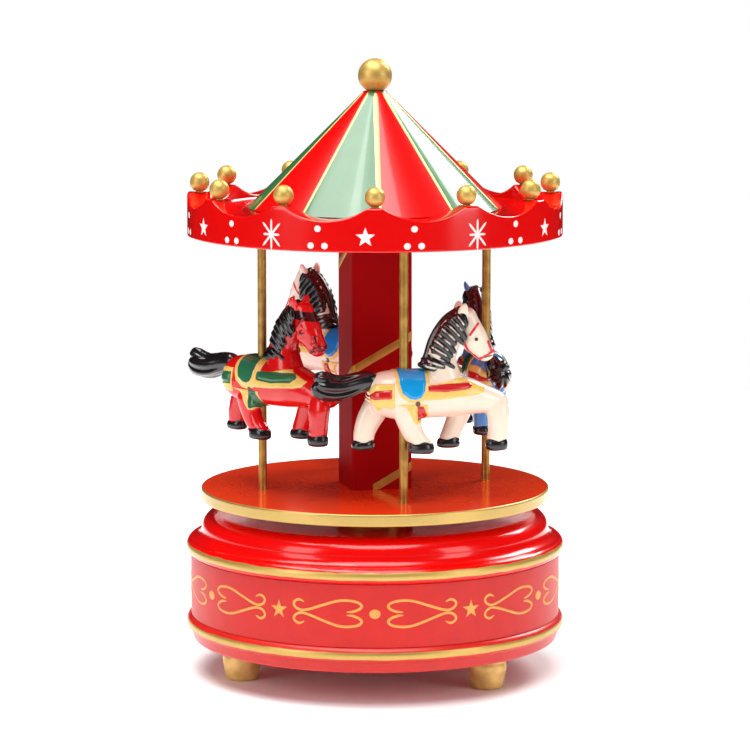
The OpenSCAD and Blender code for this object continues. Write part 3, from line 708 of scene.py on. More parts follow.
def makeRim():
    low, outer = rimLow[2], rimHigh[0]
    inner = outer - canopy["wall"]
    floor = coneLow[2]
    edge, lowEdge = canopy["edge"], canopy["lowEdge"]
    guard, corner = canopy["guard"], canopy["corner"]
    azimuth = np.linspace(0, 360, 720, endpoint=False)
    # each row is a radius, a height and 1 where the height is measured from the scalloped top
    lowArc = arcPoints(outer - lowEdge, low + lowEdge, lowEdge, lowEdge, -90, 0, 6)
    rows = [(0, low, 0), *[(r, z, 0) for r, z in lowArc]]
    outerArc = arcPoints(outer - edge, -edge, edge, edge, 0, 90, 7)
    innerArc = arcPoints(inner + edge, -edge, edge, edge, 90, 180, 7)
    rows += [(outer, low + lowEdge + guard, 0), (outer, -edge - guard, 1)]
    rows += [(r, z, 1) for r, z in outerArc]
    rows += [(outer - canopy["wall"] / 2, 0, 1)]
    rows += [(r, z, 1) for r, z in innerArc]
    rows += [(inner, -edge - guard, 1), (inner, floor + corner + 0.2, 0), (inner, floor + corner, 0),
             (inner - corner, floor, 0), (inner - corner - 0.2, floor, 0), (0, floor, 0)]
    rows = np.array(rows)
    r = rows[:, :1]
    top = scallopTop(azimuth[None], np.maximum(r, inner))
    z = np.where(rows[:, 2:] > 0, top + rows[:, 1:2], rows[:, 1:2])
    grid = placeAt(azimuth[None], r, z)
    rim = meshObject("canopyRim", [sheet(grid, closeV=True)], 40)
    paint = finish("rimPaint", dict(lacquerLook, colour=chart(214, 0, 0)))
    settle(rim, paint, "carousel", "lacquer_red", "canopy_rim")


# Alternate red and green panels round the cone
def panelPattern(place, look):
    x, y = place.parts()[:2]
    turn = x.math("ARCTAN2", x, 0 - y) / (2 * math.pi)
    half = canopy["panels"] / 2
    # the added whole number keeps the value positive, so that its fraction repeats evenly
    part = turn * half - canopy["panelTurn"] * half / 360 + 4.0
    green = part.math("FRACT", part) > 0.5
    return green.over(look["green"], look["colour"]), 0.0, look["rough"]


def makeCone():
    low, high = coneLow[2], coneHigh[2]
    foot, tip, ledge = coneHigh[0], canopy["tip"], canopy["ledge"]
    profile = np.array([[0, low], [foot - ledge, low], [foot, low + ledge], [tip, high], [0, high]])
    cone = meshObject("canopyCone", [turned(profile, sides=240)])
    look = dict(lacquerLook, colour=chart(226, 2, 2), green=chart(58, 118, 66), rough=0.24, coat=0.38,
                patch=7, uneven=0.3)
    settle(cone, finish("conePaint", look, panelPattern), "carousel", "cone_paint", "canopy_cone")
    slant = math.hypot(foot - tip, high - low - ledge)
    lean = np.array([(tip - foot) / slant, (high - low - ledge) / slant])
    parts = []

    def project(azimuth):
        def place(u, v, h):
            # v runs up the slope, u along the girth, h stands off the slope
            r = foot + lean[0] * v + lean[1] * h
            z = low + ledge + lean[1] * v - lean[0] * h
            return placeAt(azimuth + np.degrees(u / np.maximum(r, 1)), r, z)
        return place

    for i in range(canopy["panels"]):
        azimuth = canopy["panelTurn"] + 360 / canopy["panels"] * i
        width = canopy["frontLine"] if i == 0 else canopy["line"]
        line = [(0, 0.4), (0, slant * 0.5), (0, slant - 0.6)]
        parts.append(stroke(line, width, project(azimuth), 40, 0.2))
    lines = meshObject("coneLines", parts, 60)
    lineLook = dict(goldLook, colour=chart(244, 212, 140), metal=0.25, rough=0.4, uneven=0.4)
    settle(lines, finish("linePaint", lineLook), "carousel", "gold_paint")


def makeBalls():
    low, high = finialLow[2], finialHigh[2]
    radius = (high - low) / 2
    t = np.linspace(-90, 90, 49)
    a = np.radians(t)
    ball = np.stack([radius * np.cos(a), low + radius + radius * np.sin(a)], 1)
    finial = meshObject("finialBall", [turned(ball, sides=96)])
    settle(finial, goldPaint, "carousel", "gold_paint", "finial_ball")
    for i in range(canopy["scallops"]):
        low, high = nodeBox(f"rim_ball_{i + 1}")
        centre = (low[:2] + high[:2]) / 2
        radius = (high[0] - low[0]) / 2
        seat = rimHigh[2] - 0.3
        middle = high[2] - radius
        swell = 1 - 0.02 * np.cos(3 * a + i) ** 2
        ball = np.stack([radius * swell * np.cos(a), middle + radius * np.sin(a)], 1)
        neck = [[0, seat], [radius * 0.42, seat], [radius * 0.36, seat + 0.5]]
        ball = np.vstack([neck, ball[ball[:, 1] > seat + 0.75]])
        piece = meshObject(f"rimBall{i + 1}", [turned(ball, centre, 56)])
        settle(piece, goldPaint, "carousel", "gold_paint", f"rim_ball_{i + 1}")


rimPrint = {"motifs": 23, "turn": -0.6, "star": 2.95, "starZ": 4.2, "flakeZ": 4.35, "flake": 4.3,
            "dot": 1.0, "dotZ": 1.75, "dotRise": 4.7, "dotSide": 2.0, "stroke": 0.7,
            "arms": ((0, 1), (0.62, 0), (0.66, 0.76), (0.66, -0.76)),
            "nudge": {-1: -0.7, 0: -2.2, 1: -3.5, 2: 0.8}}


def makeRimPrint():
    radius, low = rimHigh[0], rimLow[2]
    p = rimPrint

    def project(u, v, h):
        return onWall(radius, u, v, h)

    parts = []
    step = 2 * np.pi * radius / p["motifs"]
    for i in range(p["motifs"]):
        k = i if i <= 11 else i - p["motifs"]
        u = k * step + np.radians(p["turn"] + p["nudge"].get(k, 0)) * radius
        if k % 4 == 0:
            middle = np.array([u, low + p["starZ"]])
            parts.append(spot(starOutline(*middle, p["star"], p["star"] * 0.42), middle, project))
        elif k % 4 == 2:
            v = low + p["flakeZ"]
            for du, dv in np.array(p["arms"]) * p["flake"]:
                parts.append(stroke([(u - du, v - dv), (u, v), (u + du, v + dv)], p["stroke"], project, 14,
                                    0.6))
        else:
            for du, dv in ((-p["dotSide"], 0), (p["dotSide"], 0), (0, p["dotRise"])):
                middle = np.array([u + du, low + p["dotZ"] + dv])
                parts.append(spot(roundOutline(*middle, p["dot"], p["dot"] * 0.95), middle, project))
    ink = meshObject("rimPrint", parts, 60)
    look = {"colour": chart(250, 226, 222), "rough": 0.4, "coat": 0.2, "patch": 2.0, "uneven": 0.3,
            "shadow": (0.95, 0.78, 0.76, 1), "grain": 0.3, "depth": 0.01}
    settle(ink, finish("rimInk", look), "carousel", "lacquer_red")


makeRim()
makeCone()
makeBalls()
makeRimPrint()
print("canopy made")


# ---- horses: x forward, y to the horse's left, z above the deck, the pole's axis at x = 0

# Body, neck, head, near and far legs and ears; each row is x, y, z, half height, half width
horseBody = [
    [(-10.3, 0, 33.4, 0.8, 1.2), (-9.6, 0, 33.4, 3.3, 3.4), (-8.0, 0, 33.0, 5.2, 4.9),
     (-5.4, 0, 32.1, 6.5, 5.8), (-1.5, 0, 31.2, 6.9, 6.0), (2.6, 0, 31.1, 6.7, 5.9),
     (8.0, 0, 31.1, 6.7, 5.8), (13.5, 0, 30.8, 6.3, 5.6), (18.5, 0, 30.2, 5.3, 5.3),
     (23.5, 0, 29.2, 4.1, 4.9), (27.3, 0, 28.3, 3.2, 4.2), (29.5, 0, 27.6, 2.0, 2.8),
     (30.1, 0, 27.3, 0.8, 1.2)],
    [(11.0, 0, 30.0, 4.2, 4.2), (11.2, 0, 34.5, 5.6, 4.9), (10.9, 0, 38.0, 4.9, 4.3),
     (10.7, 0, 41.4, 4.4, 3.7), (11.7, 0, 45.0, 4.2, 3.3), (13.6, 0, 48.8, 4.0, 3.0),
     (15.8, 0, 52.0, 3.0, 2.6), (17.4, 0, 53.9, 1.4, 1.4), (17.7, 0, 54.3, 0.4, 0.5)],
    [(17.7, 0, 55.3, 0.9, 1.1), (18.0, 0, 54.2, 2.4, 2.4), (18.8, 0, 51.4, 3.0, 3.0),
     (19.9, 0, 48.2, 3.6, 3.3), (20.9, 0, 46.1, 3.7, 3.1), (22.3, 0, 44.2, 3.1, 2.5),
     (23.8, 0, 42.4, 2.7, 2.2), (24.9, 0, 41.1, 1.9, 1.7), (25.3, 0, 40.6, 0.7, 0.7)],
    [(-2.2, -2.2, 31.0, 2.7, 2.4), (-0.4, -3.2, 27.4, 3.6, 2.7), (0.5, -3.4, 24.4, 3.5, 2.6),
     (1.5, -3.4, 21.4, 3.1, 2.4), (3.1, -3.4, 18.6, 2.8, 2.3), (4.2, -3.4, 16.5, 3.5, 2.5),
     (4.3, -3.4, 15.2, 3.4, 2.4), (4.3, -3.4, 14.9, 2.0, 1.4)],
    [(-5.4, 2.2, 31.4, 2.8, 2.4), (-7.4, 3.2, 27.2, 3.7, 2.7), (-9.4, 3.4, 23.6, 3.5, 2.6),
     (-10.5, 3.4, 20.6, 3.1, 2.4), (-10.8, 3.4, 18.0, 2.9, 2.3), (-11.0, 3.4, 16.6, 3.2, 2.4),
     (-11.0, 3.4, 15.7, 2.9, 2.2), (-11.0, 3.4, 15.4, 1.6, 1.2)],
    [(18.6, 2.2, 30.0, 2.6, 2.4), (17.6, 3.2, 26.4, 3.2, 2.6), (16.3, 3.4, 22.8, 3.0, 2.5),
     (14.9, 3.4, 19.6, 2.8, 2.3), (14.2, 3.4, 17.6, 2.9, 2.3), (14.0, 3.4, 16.3, 3.3, 2.4),
     (14.0, 3.4, 15.5, 3.0, 2.2), (14.0, 3.4, 15.2, 1.6, 1.2)],
    [(24.8, -1.8, 29.4, 2.4, 2.4), (26.7, -2.8, 26.4, 3.4, 2.5), (26.9, -3.1, 23.4, 3.1, 2.4),
     (26.8, -3.1, 20.4, 2.9, 2.3), (26.5, -3.1, 18.0, 2.9, 2.3), (26.4, -3.1, 16.4, 3.1, 2.4),
     (26.3, -3.1, 15.3, 2.9, 2.2), (26.3, -3.1, 14.9, 1.7, 1.3)],
    [(16.7, -1.7, 52.0, 1.7, 1.2), (16.6, -2.3, 54.2, 1.7, 1.0), (16.8, -2.9, 56.0, 1.2, 0.7),
     (17.0, -3.2, 57.1, 0.4, 0.3)],
    [(16.7, 1.7, 52.0, 1.7, 1.2), (16.6, 2.3, 54.2, 1.7, 1.0), (16.8, 2.9, 56.0, 1.2, 0.7),
     (17.0, 3.2, 57.1, 0.4, 0.3)]]

# Outlines of what is painted on the sides, as x, z
tack = {
    "saddle": [(-2.6, 48), (-2.2, 38.4), (-1.6, 36.9), (-1.1, 34.0), (-0.3, 31.5), (1.7, 30.0),
               (3.5, 29.7), (5.2, 30.4), (6.1, 31.9), (6.4, 34.8), (6.1, 37.3), (5.6, 38.6), (5.4, 48)],
    "trim": [
        [(-14, 31.6), (-10.1, 32.4), (-8.4, 34.2), (-2.6, 34.2), (-2.6, 27.2), (-5.7, 27.5),
         (-7.6, 26.6), (-9.6, 29.0), (-14, 29.8)],
        [(6.2, 34.0), (11.8, 34.7), (15.3, 35.8), (17.2, 36.2), (18.8, 35.2), (23.6, 33.4), (23.2, 31.7),
         (20.6, 31.0), (11.8, 29.9), (6.2, 29.5)],
        [(-3.2, 28.4), (0.2, 27.8), (1.4, 26.4), (2.3, 24.2), (3.4, 22.6), (4.9, 22.9), (5.6, 24.2),
         (7.3, 25.2), (6.9, 28.4)],
        [(-11.8, 32), (-10.6, 32), (-12.6, 26.0), (-13.8, 26.0)]],
    "sash": [
        [(-14, 31.2), (-10.0, 31.0), (-8.2, 32.2), (-3.4, 32.5), (-3.4, 29.9), (-8.4, 29.7)],
        [(7.0, 33.8), (11.8, 34.2), (18.9, 34.7), (20.0, 33.9), (18.9, 32.8), (12.3, 31.9), (7.2, 32.1)],
        [(3.9, 27.9), (5.8, 27.9), (6.8, 25.2), (4.1, 23.6)]],
    "reins": [[(21.6, 51.4), (19.2, 48.1)], [(17.6, 46.2), (17.9, 45.3), (18.8, 43.6), (21.9, 41.3),
                                             (24.3, 42.4), (26.2, 43.8)],
              [(24.5, 46.4), (25.4, 44.0), (26.6, 43.0)]],
    "mouth": [[(23.4, 41.8), (26.4, 42.6)]],
    "brow": [(17.0, 53.4), (24.0, 53.0), (24.0, 50.6), (17.0, 50.8)],
    "button": (4.1, 28.6), "eye": (21.1, 46.9), "nostril": (25.0, 43.6)}
# The outlines are drawn as seen from a little ahead and above: what stands out to the side
# moves forward and down by these shares, and what is further ahead moves up
drawnFrom = {"forward": 0.25, "down": 0.133, "up": 0.033}


hoofLine = 18.0
# How far each painted or carved part stands out or lies in, in millimetres
relief = {"saddle": 0.42, "trim": 0.3, "sash": 0.18, "sashEdge": 0.12, "reins": 0.2, "button": 0.3,
          "hoof": 0.14, "hoofGroove": 0.16, "eye": 0.3, "eyeRing": 0.14, "nostril": 0.4,
          "nostrilRing": 0.18, "mouth": 0.25}
# Cheek, haunch and shoulder as x, z, reach and height
swellings = [(19.2, 45.6, 1.6, 0.35), (-5.5, 29, 3.4, 0.4), (16.5, 29.5, 3.2, 0.3)]


# Distance to the nearest edge of an outline, positive inside: crossings of a ray give the side
def insideDistance(x, z, outline):
    corners = np.array(outline, float)
    after = np.roll(corners, -1, axis=0)
    near = np.full(x.shape, 1e9)
    inside = np.zeros(x.shape, bool)
    for (ax, az), (bx, bz) in zip(corners, after):
        near = np.minimum(near, segmentDistance(x, z, ax, az, bx, bz))
        if az != bz:
            inside ^= ((az > z) != (bz > z)) & (x < ax + (z - az) * (bx - ax) / (bz - az))
    return np.where(inside, near, -near)


def segmentDistance(x, z, ax, az, bx, bz):
    t = np.clip(((x - ax) * (bx - ax) + (z - az) * (bz - az)) / ((bx - ax) ** 2 + (bz - az) ** 2), 0, 1)
    return np.hypot(x - ax - t * (bx - ax), z - az - t * (bz - az))


def lineDistance(x, z, line):
    return np.min([segmentDistance(x, z, *a, *b) for a, b in zip(line[:-1], line[1:])], axis=0)


def smoothStep(value, low, high):
    t = np.clip((value - low) / (high - low), 0, 1)
    return t * t * (3 - 2 * t)


# 1 at no distance, falling off over the width
def bell(distance, width):
    return np.exp(-(distance / width) ** 2)


# x and z of each point as the outlines are drawn
def drawnPlace(points):
    out = np.abs(points[:, 1])
    x = points[:, 0] + drawnFrom["forward"] * out
    z = points[:, 2] + drawnFrom["up"] * points[:, 0] - drawnFrom["down"] * out
    return x, z


# How far each point lies inside each painted shape, in millimetres
def tackFields(points):
    x, z = drawnPlace(points)
    saddle = insideDistance(x, z, tack["saddle"])
    trim = np.max([insideDistance(x, z, outline) for outline in tack["trim"]], axis=0)
    sash = np.max([insideDistance(x, z, outline) for outline in tack["sash"]], axis=0)
    reins = 0.36 - np.min([lineDistance(x, z, line) for line in tack["reins"]], axis=0)
    eye = 0.55 - np.hypot(x - tack["eye"][0], z - tack["eye"][1])
    mouth = 0.16 - np.min([lineDistance(x, z, line) for line in tack["mouth"]], axis=0)
    button = 0.75 - np.hypot(x - tack["button"][0], z - tack["button"][1])
    hoof = hoofLine + 0.3 * np.sin(x * 1.3) - points[:, 2]
    brow = insideDistance(x, z, tack["brow"])
    return {"brow": brow, "saddle": saddle, "trim": np.maximum(trim, saddle + 1.05), "sash": sash,
            "reins": reins, "black": np.max([eye, mouth, hoof], axis=0), "button": button}


def horsePoints(obj):
    points = np.empty(len(obj.data.vertices) * 3)
    obj.data.vertices.foreach_get("co", points)
    return points.reshape(-1, 3) / mm


# Melts overlapping closed shapes into one skin and rounds where they meet
def melt(obj, voxel, passes):
    join = obj.modifiers.new("join", "REMESH")
    join.mode = "VOXEL"
    join.voxel_size = voxel * mm
    soften = obj.modifiers.new("soften", "SMOOTH")
    soften.factor = 0.5
    soften.iterations = passes
    bakeModifiers(obj)


def shapeHorse():
    master = meshObject("horseMaster", [limb(rows) for rows in horseBody])
    melt(master, 0.26, 16)
    points = horsePoints(master)
    normals = np.empty(len(points) * 3)
    master.data.vertices.foreach_get("normal", normals)
    normals = normals.reshape(-1, 3)
    fields = tackFields(points)
    x, z = drawnPlace(points)
    low = points[:, 2]
    rise = relief["saddle"] * smoothStep(fields["saddle"], -0.1, 0.7)
    rise += relief["trim"] * smoothStep(fields["trim"], -0.15, 0.35)
    rise -= relief["sashEdge"] * bell(fields["sash"], 0.22)
    rise += relief["sash"] * smoothStep(fields["sash"], 0.1, 0.6)
    rise += relief["reins"] * smoothStep(fields["reins"], -0.1, 0.2)
    rise += relief["button"] * smoothStep(fields["button"], -0.1, 0.5)
    rise -= relief["hoofGroove"] * bell(low - hoofLine, 0.3)
    rise += relief["hoof"] * smoothStep(hoofLine - 0.1 - low, 0, 0.5)
    eye = np.hypot(x - tack["eye"][0], z - tack["eye"][1])
    rise += relief["eye"] * bell(eye, 0.55) - relief["eyeRing"] * bell(eye - 1.1, 0.4)
    nostril = np.hypot(x - tack["nostril"][0], z - tack["nostril"][1])
    rise += relief["nostrilRing"] * bell(nostril - 0.8, 0.3) - relief["nostril"] * bell(nostril, 0.4)
    rise -= relief["mouth"] * bell(lineDistance(x, z, tack["mouth"][0]), 0.25)
    for sx, sz, reach, height in swellings:
        rise += height * bell(np.hypot(x - sx, z - sz), reach)
    points = points + normals * rise[:, None]
    master.data.vertices.foreach_set("co", (points * mm).ravel())
    master.data.update()
    return master, tackFields(points)


# Mane: a crest along the back of the neck and locks that fall from it to each side
maneShape = {
    "crest": [(4.0, 38.9), (5.6, 42.0), (7.0, 46.4), (8.9, 49.9), (11.6, 53.0), (14.8, 54.8)],
    "fall": [(9.4, 38.4), (13.8, 38.8), (13.6, 41.6), (15.4, 44.2), (17.6, 46.4), (17.5, 50.4)],
    "locks": 11}


def maneRipple(u, t):
    return 1 + 0.10 * np.cos(5 * t + 2.5 * u) * smoothStep(u, 0.0, 0.3)


def shapeMane():
    crest = curveThrough(maneShape["crest"], maneShape["locks"])
    fall = curveThrough(maneShape["fall"], maneShape["locks"])
    ridge = curveThrough(maneShape["crest"], 9)
    parts = [limb([(x + 1.4, 0, z - 0.5, 1.55, 1.35) for x, z in ridge]
                  + [(15.6, 0, 54.6, 1.2, 1.2), (17.0, 0, 53.9, 0.5, 0.6)], 50, 24, 2.0)]
    for k, ((cx, cz), (fx, fz)) in enumerate(zip(crest, fall)):
        for side in (-1, 1):
            wide = 1.02 + 0.16 * math.sin(k * 2.3)
            end = 0.94 + 0.10 * math.sin(k * 4.1 + side)
            fx2, fz2 = cx + (fx - cx) * end, cz + (fz - cz) * end
            mx, mz = (cx + fx2) / 2 + 0.35, (cz + fz2) / 2 + 0.55
            out = 3.1 if k < 3 else 2.85
            rows = [(cx + 0.9, side * 0.4, cz - 0.1, wide * 0.9, 0.7),
                    ((cx * 2 + mx) / 3 + 0.3, side * 2.0, (cz * 2 + mz) / 3 + 0.2, wide, 0.9),
                    (mx, side * out, mz, wide * 1.05, 0.95),
                    ((fx2 * 2 + mx) / 3, side * (out + 0.4), (fz2 * 2 + mz) / 3, wide * 0.85, 0.8),
                    (fx2, side * (out + 0.35), fz2, 0.4, 0.4)]
            parts.append(limb(rows, 26, 16, 2.0, maneRipple))
    mane = meshObject("maneMaster", parts)
    melt(mane, 0.22, 2)
    points = horsePoints(mane)
    between = (curveThrough(maneShape["crest"], 2 * maneShape["locks"] - 1)[1::2],
               curveThrough(maneShape["fall"], 2 * maneShape["locks"] - 1)[1::2])
    lines = [(a * 0.84 + b * 0.16, a * 0.34 + b * 0.66) for a, b in zip(*between)]
    gap = np.min([segmentDistance(points[:, 0], points[:, 2], *a, *b) for a, b in lines], axis=0)
    streak = mane.data.attributes.new("streak", "FLOAT", "POINT")
    streak.data.foreach_set("value", 0.26 - gap)
    return mane


tailRows = [(-7.6, 0, 35.2, 1.4, 1.4), (-9.2, 0, 35.4, 2.7, 2.3), (-12.3, 0, 35.2, 3.0, 2.5),
            (-15.4, 0, 34.4, 3.2, 2.7), (-18.4, 0, 33.8, 3.5, 2.9), (-21.4, 0, 33.9, 3.8, 3.0),
            (-23.8, 0, 34.4, 3.6, 2.7), (-25.2, 0, 35.0, 2.6, 1.9), (-25.8, 0, 35.5, 0.9, 0.8)]
tailCurl = [(-17.0, 0, 34.8, 1.6, 1.6), (-20.2, 0, 35.4, 2.1, 2.1), (-22.8, 0, 36.2, 2.2, 2.3),
            (-24.6, 0, 36.9, 1.9, 2.0), (-25.7, 0, 37.3, 0.9, 1.0)]


def tailRipple(u, t):
    fade = smoothStep(u, 0.12, 0.45)
    return 1 + fade * (0.085 * np.cos(6 * t + 3.0 * u) + 0.05 * np.cos(11 * t - 2.0 * u))


def shapeTail():
    tail = meshObject("tailMaster", [limb(tailRows, 60, 72, 2.0, tailRipple),
                                     limb(tailCurl, 30, 32, 2.0, maneRipple)])
    melt(tail, 0.22, 2)
    return tail


horseLook = {"rough": 0.22, "coat": 0.35, "coatRough": 0.08, "patch": 4.5, "grain": 0.6, "peel": 0.5,
             "wave": 0.9, "depth": 0.03, "uneven": 0.2, "specks": 0.12}


# Enamel painted inside each outline, with a slightly brushed edge
def tackPattern(place, look):
    waver = (place.clouds(1.1, 2.0) - 0.5) * 0.28

    def field(name, grow=0.0):
        value = place.add("ShaderNodeAttribute", {"attribute_name": name}, out="Fac")
        return (value + waver).ramp(-0.07 - grow, 0.07 - grow)

    worn = place.clouds(1.6, 3.0).ramp(0.45, 0.8) * 0.35
    gold = worn.over(look["goldWorn"], look["gold"])
    base = field("brow").over(look.get("brow", look["colour"]), look["colour"])
    base = field("trim").over(gold, base)
    base = field("sash", look.get("sashGrow", 0.0)).over(look["sash"], base)
    base = field("saddle", look.get("saddleGrow", 0.0)).over(look["saddle"], base)
    base = field("reins").over(look["reins"], base)
    base = field("button").over(look["button"], base)
    base = field("black").over(look["black"], base)
    return base, 0.0, look["rough"]


gold = chart(234, 196, 104)
inkBlack = chart(26, 22, 24)


# Black locks with the body's paint showing between them
def streakPattern(place, look):
    streak = place.add("ShaderNodeAttribute", {"attribute_name": "streak"}, out="Fac")
    broken = place.clouds(2.2, 2.0).ramp(0.36, 0.56)
    mask = (streak + (place.clouds(0.8, 1.0) - 0.5) * 0.2).ramp(-0.04, 0.1) * broken
    return mask.over(look["streak"], look["colour"]), 0.0, look["rough"]


horses = {
    "horseFrontWhite": {"node": "horse_front_white", "pole": 0, "heading": 14.0, "lift": 0.0,
                        "slot": "horse_cream",
                        "paint": {"colour": chart(234, 217, 197), "saddle": chart(2, 146, 212),
                                  "sash": chart(196, 26, 28), "reins": chart(212, 44, 50),
                                  "shadow": (0.93, 0.84, 0.78, 1)}},
    "horseRightBlue": {"node": "horse_right_blue", "pole": 1, "heading": 99.0, "lift": 0.0,
                       "slot": "horse_blue",
                       "paint": {"colour": chart(84, 146, 212), "saddle": chart(40, 112, 78),
                                 "sash": chart(196, 30, 28), "reins": chart(150, 30, 34),
                                 "shadow": (0.66, 0.72, 0.86, 1)}},
    "horseRearWhite": {"node": "horse_rear_white", "pole": 2, "heading": 134.0, "lift": 3.2,
                       "slot": "horse_cream",
                       "paint": {"colour": chart(240, 222, 208), "saddle": chart(34, 120, 200),
                                 "sash": chart(190, 30, 30), "reins": chart(212, 44, 50),
                                 "shadow": (0.93, 0.84, 0.78, 1)}},
    "horseLeftRed": {"node": "horse_left_red", "pole": 3, "heading": -41.0, "lift": 0.6, "back": 2.2,
                     "slot": "horse_red",
                     "paint": {"colour": chart(214, 10, 14), "saddle": chart(40, 108, 76),
                               "sash": chart(44, 104, 66), "reins": chart(120, 6, 10),
                               "shadow": (0.74, 0.60, 0.62, 1), "brow": chart(40, 6, 8),
                               "sashGrow": 0.5, "saddleGrow": -0.7}}}


# Carries the horse's own axes to its pole: a turn about the pole, then a step out to the ring
def carried(points, horse):
    a = math.radians(horse["heading"])
    centre = placeAt(columnTurn + 90 * horse["pole"], poleRing, deckHigh[2] + horse["lift"])
    x, y, z = points.T
    x = x - horse.get("back", 0.0)
    return np.stack([x * math.cos(a) - y * math.sin(a), x * math.sin(a) + y * math.cos(a), z], 1) + centre


def copyOf(master, name, horse):
    mesh = master.data.copy()
    mesh.name = name
    obj = bpy.data.objects.new(name, mesh)
    bpy.context.scene.collection.objects.link(obj)
    points = carried(horsePoints(obj), horse)
    mesh.vertices.foreach_set("co", (points * mm).ravel())
    mesh.update()
    shade(obj, 70)
    return obj


def makeHorses():
    master, fields = shapeHorse()
    mane = shapeMane()
    tail = shapeTail()
    print("horse mesh", len(master.data.polygons), len(mane.data.polygons), len(tail.data.polygons))
    hairLook = {"colour": chart(22, 17, 19), "rough": 0.24, "coat": 0.6, "coatRough": 0.07, "patch": 1.6,
                "grain": 0.4, "peel": 1.0, "wave": 0.8, "depth": 0.05, "uneven": 0.0, "specks": 0.0}
    hair = finish("hairPaint", hairLook)
    streaked = finish("maneWhitePaint", dict(hairLook, streak=chart(226, 212, 198)), streakPattern)
    for name, field in fields.items():
        layer = master.data.attributes.new(name, "FLOAT", "POINT")
        layer.data.foreach_set("value", field)
    for name, horse in horses.items():
        look = dict(horseLook, gold=gold, goldWorn=chart(206, 158, 72), black=inkBlack,
                    button=chart(96, 52, 30),
                    **horse["paint"])
        body = copyOf(master, name, horse)
        settle(body, finish(name + "Paint", look, tackPattern), "carousel", horse["slot"], horse["node"])
        maneFinish = streaked if name == "horseFrontWhite" else hair
        settle(copyOf(mane, name + "Mane", horse), maneFinish, "carousel", horse["slot"])
        settle(copyOf(tail, name + "Tail", horse), hair, "carousel", horse["slot"])
    for obj in (master, mane, tail):
        bpy.data.objects.remove(obj)


makeHorses()
print("horses made")


# ---- finishes of the carried-over pieces of the movement

metalLooks = {
    "brass": {"colour": chart(214, 176, 96), "rough": 0.3, "metal": 1.0, "patch": 3, "grain": 0.25,
              "peel": 1.0, "depth": 0.01, "uneven": 0.4, "stretch": (1, 1, 6), "roughSpan": 0.2},
    "screwBrass": {"colour": chart(196, 160, 88), "rough": 0.34, "metal": 1.0, "patch": 1.5, "grain": 0.2,
                   "depth": 0.01, "uneven": 0.5, "roughSpan": 0.2},
    "steel": {"colour": chart(176, 178, 182), "rough": 0.28, "metal": 1.0, "patch": 2, "grain": 0.2,
              "depth": 0.008, "uneven": 0.3, "stretch": (5, 1, 1), "roughSpan": 0.2},
    "nickel": {"colour": chart(206, 200, 190), "rough": 0.2, "metal": 1.0, "patch": 3, "grain": 0.4,
               "depth": 0.01, "uneven": 0.2, "roughSpan": 0.12},
    "castBed": {"colour": chart(168, 168, 166), "rough": 0.5, "metal": 0.9, "patch": 1.4, "grain": 0.5,
                "peel": 1.6, "depth": 0.08, "uneven": 0.4, "roughSpan": 0.2},
    "brakePlastic": {"colour": chart(236, 232, 220), "rough": 0.45, "patch": 2, "grain": 0.6, "depth": 0.01,
                     "uneven": 0.15}}
metals = {
    "brass": ["spindle_bush", "spring_barrel", "barrel_cover", "deck_hub", "music_cylinder",
              "cylinder_gear",
              "idler_wheel"],
    "screwBrass": ["base_screws", "movement_screws", "comb_screws", "hub_screws"],
    "steel": ["comb", "ratchet_click", "mainspring", "output_shaft", "cylinder_arbor", "cylinder_pinion",
              "idler_arbor", "governor_worm", "winding_arbor", "ratchet_wheel"],
    "nickel": ["winding_key", "inner_bearing", "outer_bearing", "governor_bracket"],
    "castBed": ["movement_bedplate"],
    "brakePlastic": ["air_brake"]}


def finishMovement():
    for name, nodes in metals.items():
        material = finish(name, metalLooks[name])
        for node in nodes:
            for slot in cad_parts[node].material_slots:
                slot.material = material


finishMovement()
print("movement finished")


# ---- floor, lights and camera

# Softboxes are a place, a size and a power; lengths are in metres, angles in degrees
studio = {"floorRadius": 0.6, "skyPower": 2.4, "skyAngle": 40, "skyTilt": 18, "skyGloss": 0.1,
          "roomLight": 0.3, "roomGloss": 0.012,
          "lens": 169.3, "sensor": 36, "eye": (0, -1.0160, 0.2272), "tilt": 82.132,
          "softboxes": {"key": ((-0.80, -0.66, 0.42), (0.42, 0.70), 3.5),
                        "fill": ((0.85, -0.60, 0.36), (0.36, 0.66), 2.7),
                        "over": ((-0.34, 0.04, 1.08), (0.60, 0.46), 7.0),
                        "behind": ((0.57, 0.60, 0.71), (0.42, 0.42), 7.0)}}


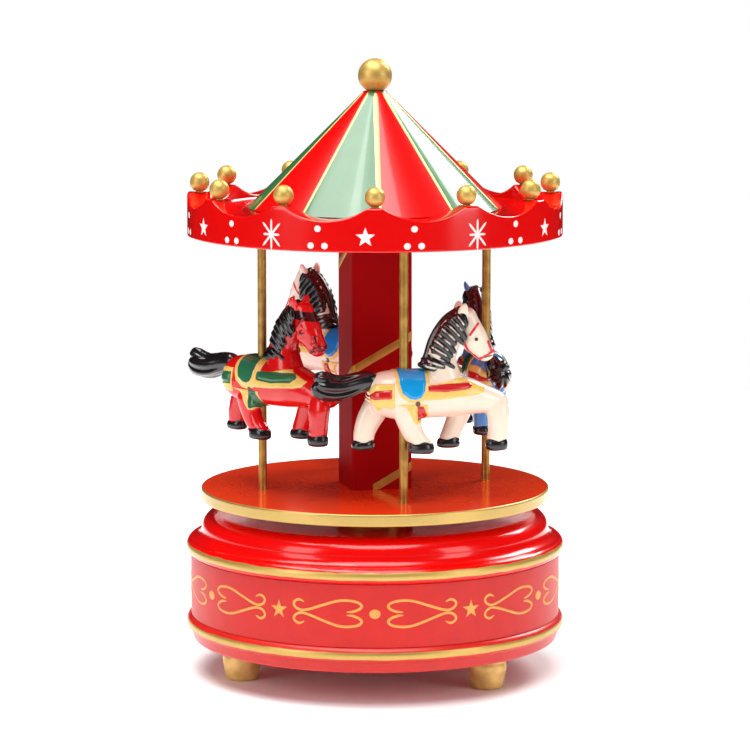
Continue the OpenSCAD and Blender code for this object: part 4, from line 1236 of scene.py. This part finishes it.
def makeFloor():
    radius = studio["floorRadius"] / mm
    floor = meshObject("floor", [turned([[0, 0], [radius, 0]], sides=96)])
    floor.data.flip_normals()
    look = {"colour": chart(250, 250, 250), "rough": 0.7, "patch": 400, "grain": 3, "depth": 0.01,
            "uneven": 0.02, "specks": 0.0, "specular": 0.1}
    floor.data.materials.append(finish("paleFloor", look))
    floor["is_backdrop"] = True


def areaLight(name, place, target, size, power):
    data = bpy.data.lights.new(name, "AREA")
    data.shape = "RECTANGLE"
    data.size, data.size_y = size
    data.energy = power
    lamp = bpy.data.objects.new(name, data)
    bpy.context.scene.collection.objects.link(lamp)
    lamp.location = place
    lamp.rotation_euler = (target - lamp.location).to_track_quat("-Z", "Y").to_euler()


def makeStudio():
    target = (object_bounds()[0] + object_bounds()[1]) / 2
    for name, (place, size, power) in studio["softboxes"].items():
        areaLight(name + "Light", place, target, size, power)
    sky = bpy.data.lights.new("skyLight", "SUN")
    sky.energy = studio["skyPower"]
    sky.angle = math.radians(studio["skyAngle"])
    sky.specular_factor = studio["skyGloss"]
    lamp = bpy.data.objects.new("skyLight", sky)
    lamp.rotation_euler = (math.radians(studio["skyTilt"]), 0, 0)
    bpy.context.scene.collection.objects.link(lamp)
    scene = bpy.context.scene
    world = bpy.data.worlds.new("studioWorld")
    world.use_nodes = True
    tree = world.node_tree
    back = next(node for node in tree.nodes if node.type == "BACKGROUND")
    back.inputs["Color"].default_value = (1, 1, 1, 1)
    wires = Wire(tree)
    seen = wires.add("ShaderNodeLightPath", out="Is Camera Ray")
    gloss = wires.add("ShaderNodeLightPath", out="Is Glossy Ray")
    room = studio["roomLight"] - gloss * (studio["roomLight"] - studio["roomGloss"])
    tree.links.new((seen * (1 - studio["roomLight"]) + room).socket, back.inputs["Strength"])
    scene.world = world
    scene.view_settings.view_transform = "Standard"


def makeCamera():
    data = bpy.data.cameras.new("camera")
    data.lens = studio["lens"]
    data.sensor_width = studio["sensor"]
    camera = bpy.data.objects.new("camera", data)
    camera.location = studio["eye"]
    camera.rotation_euler = (math.radians(studio["tilt"]), 0, 0)
    bpy.context.scene.collection.objects.link(camera)
    bpy.context.scene.camera = camera


makeFloor()
makeStudio()
makeCamera()
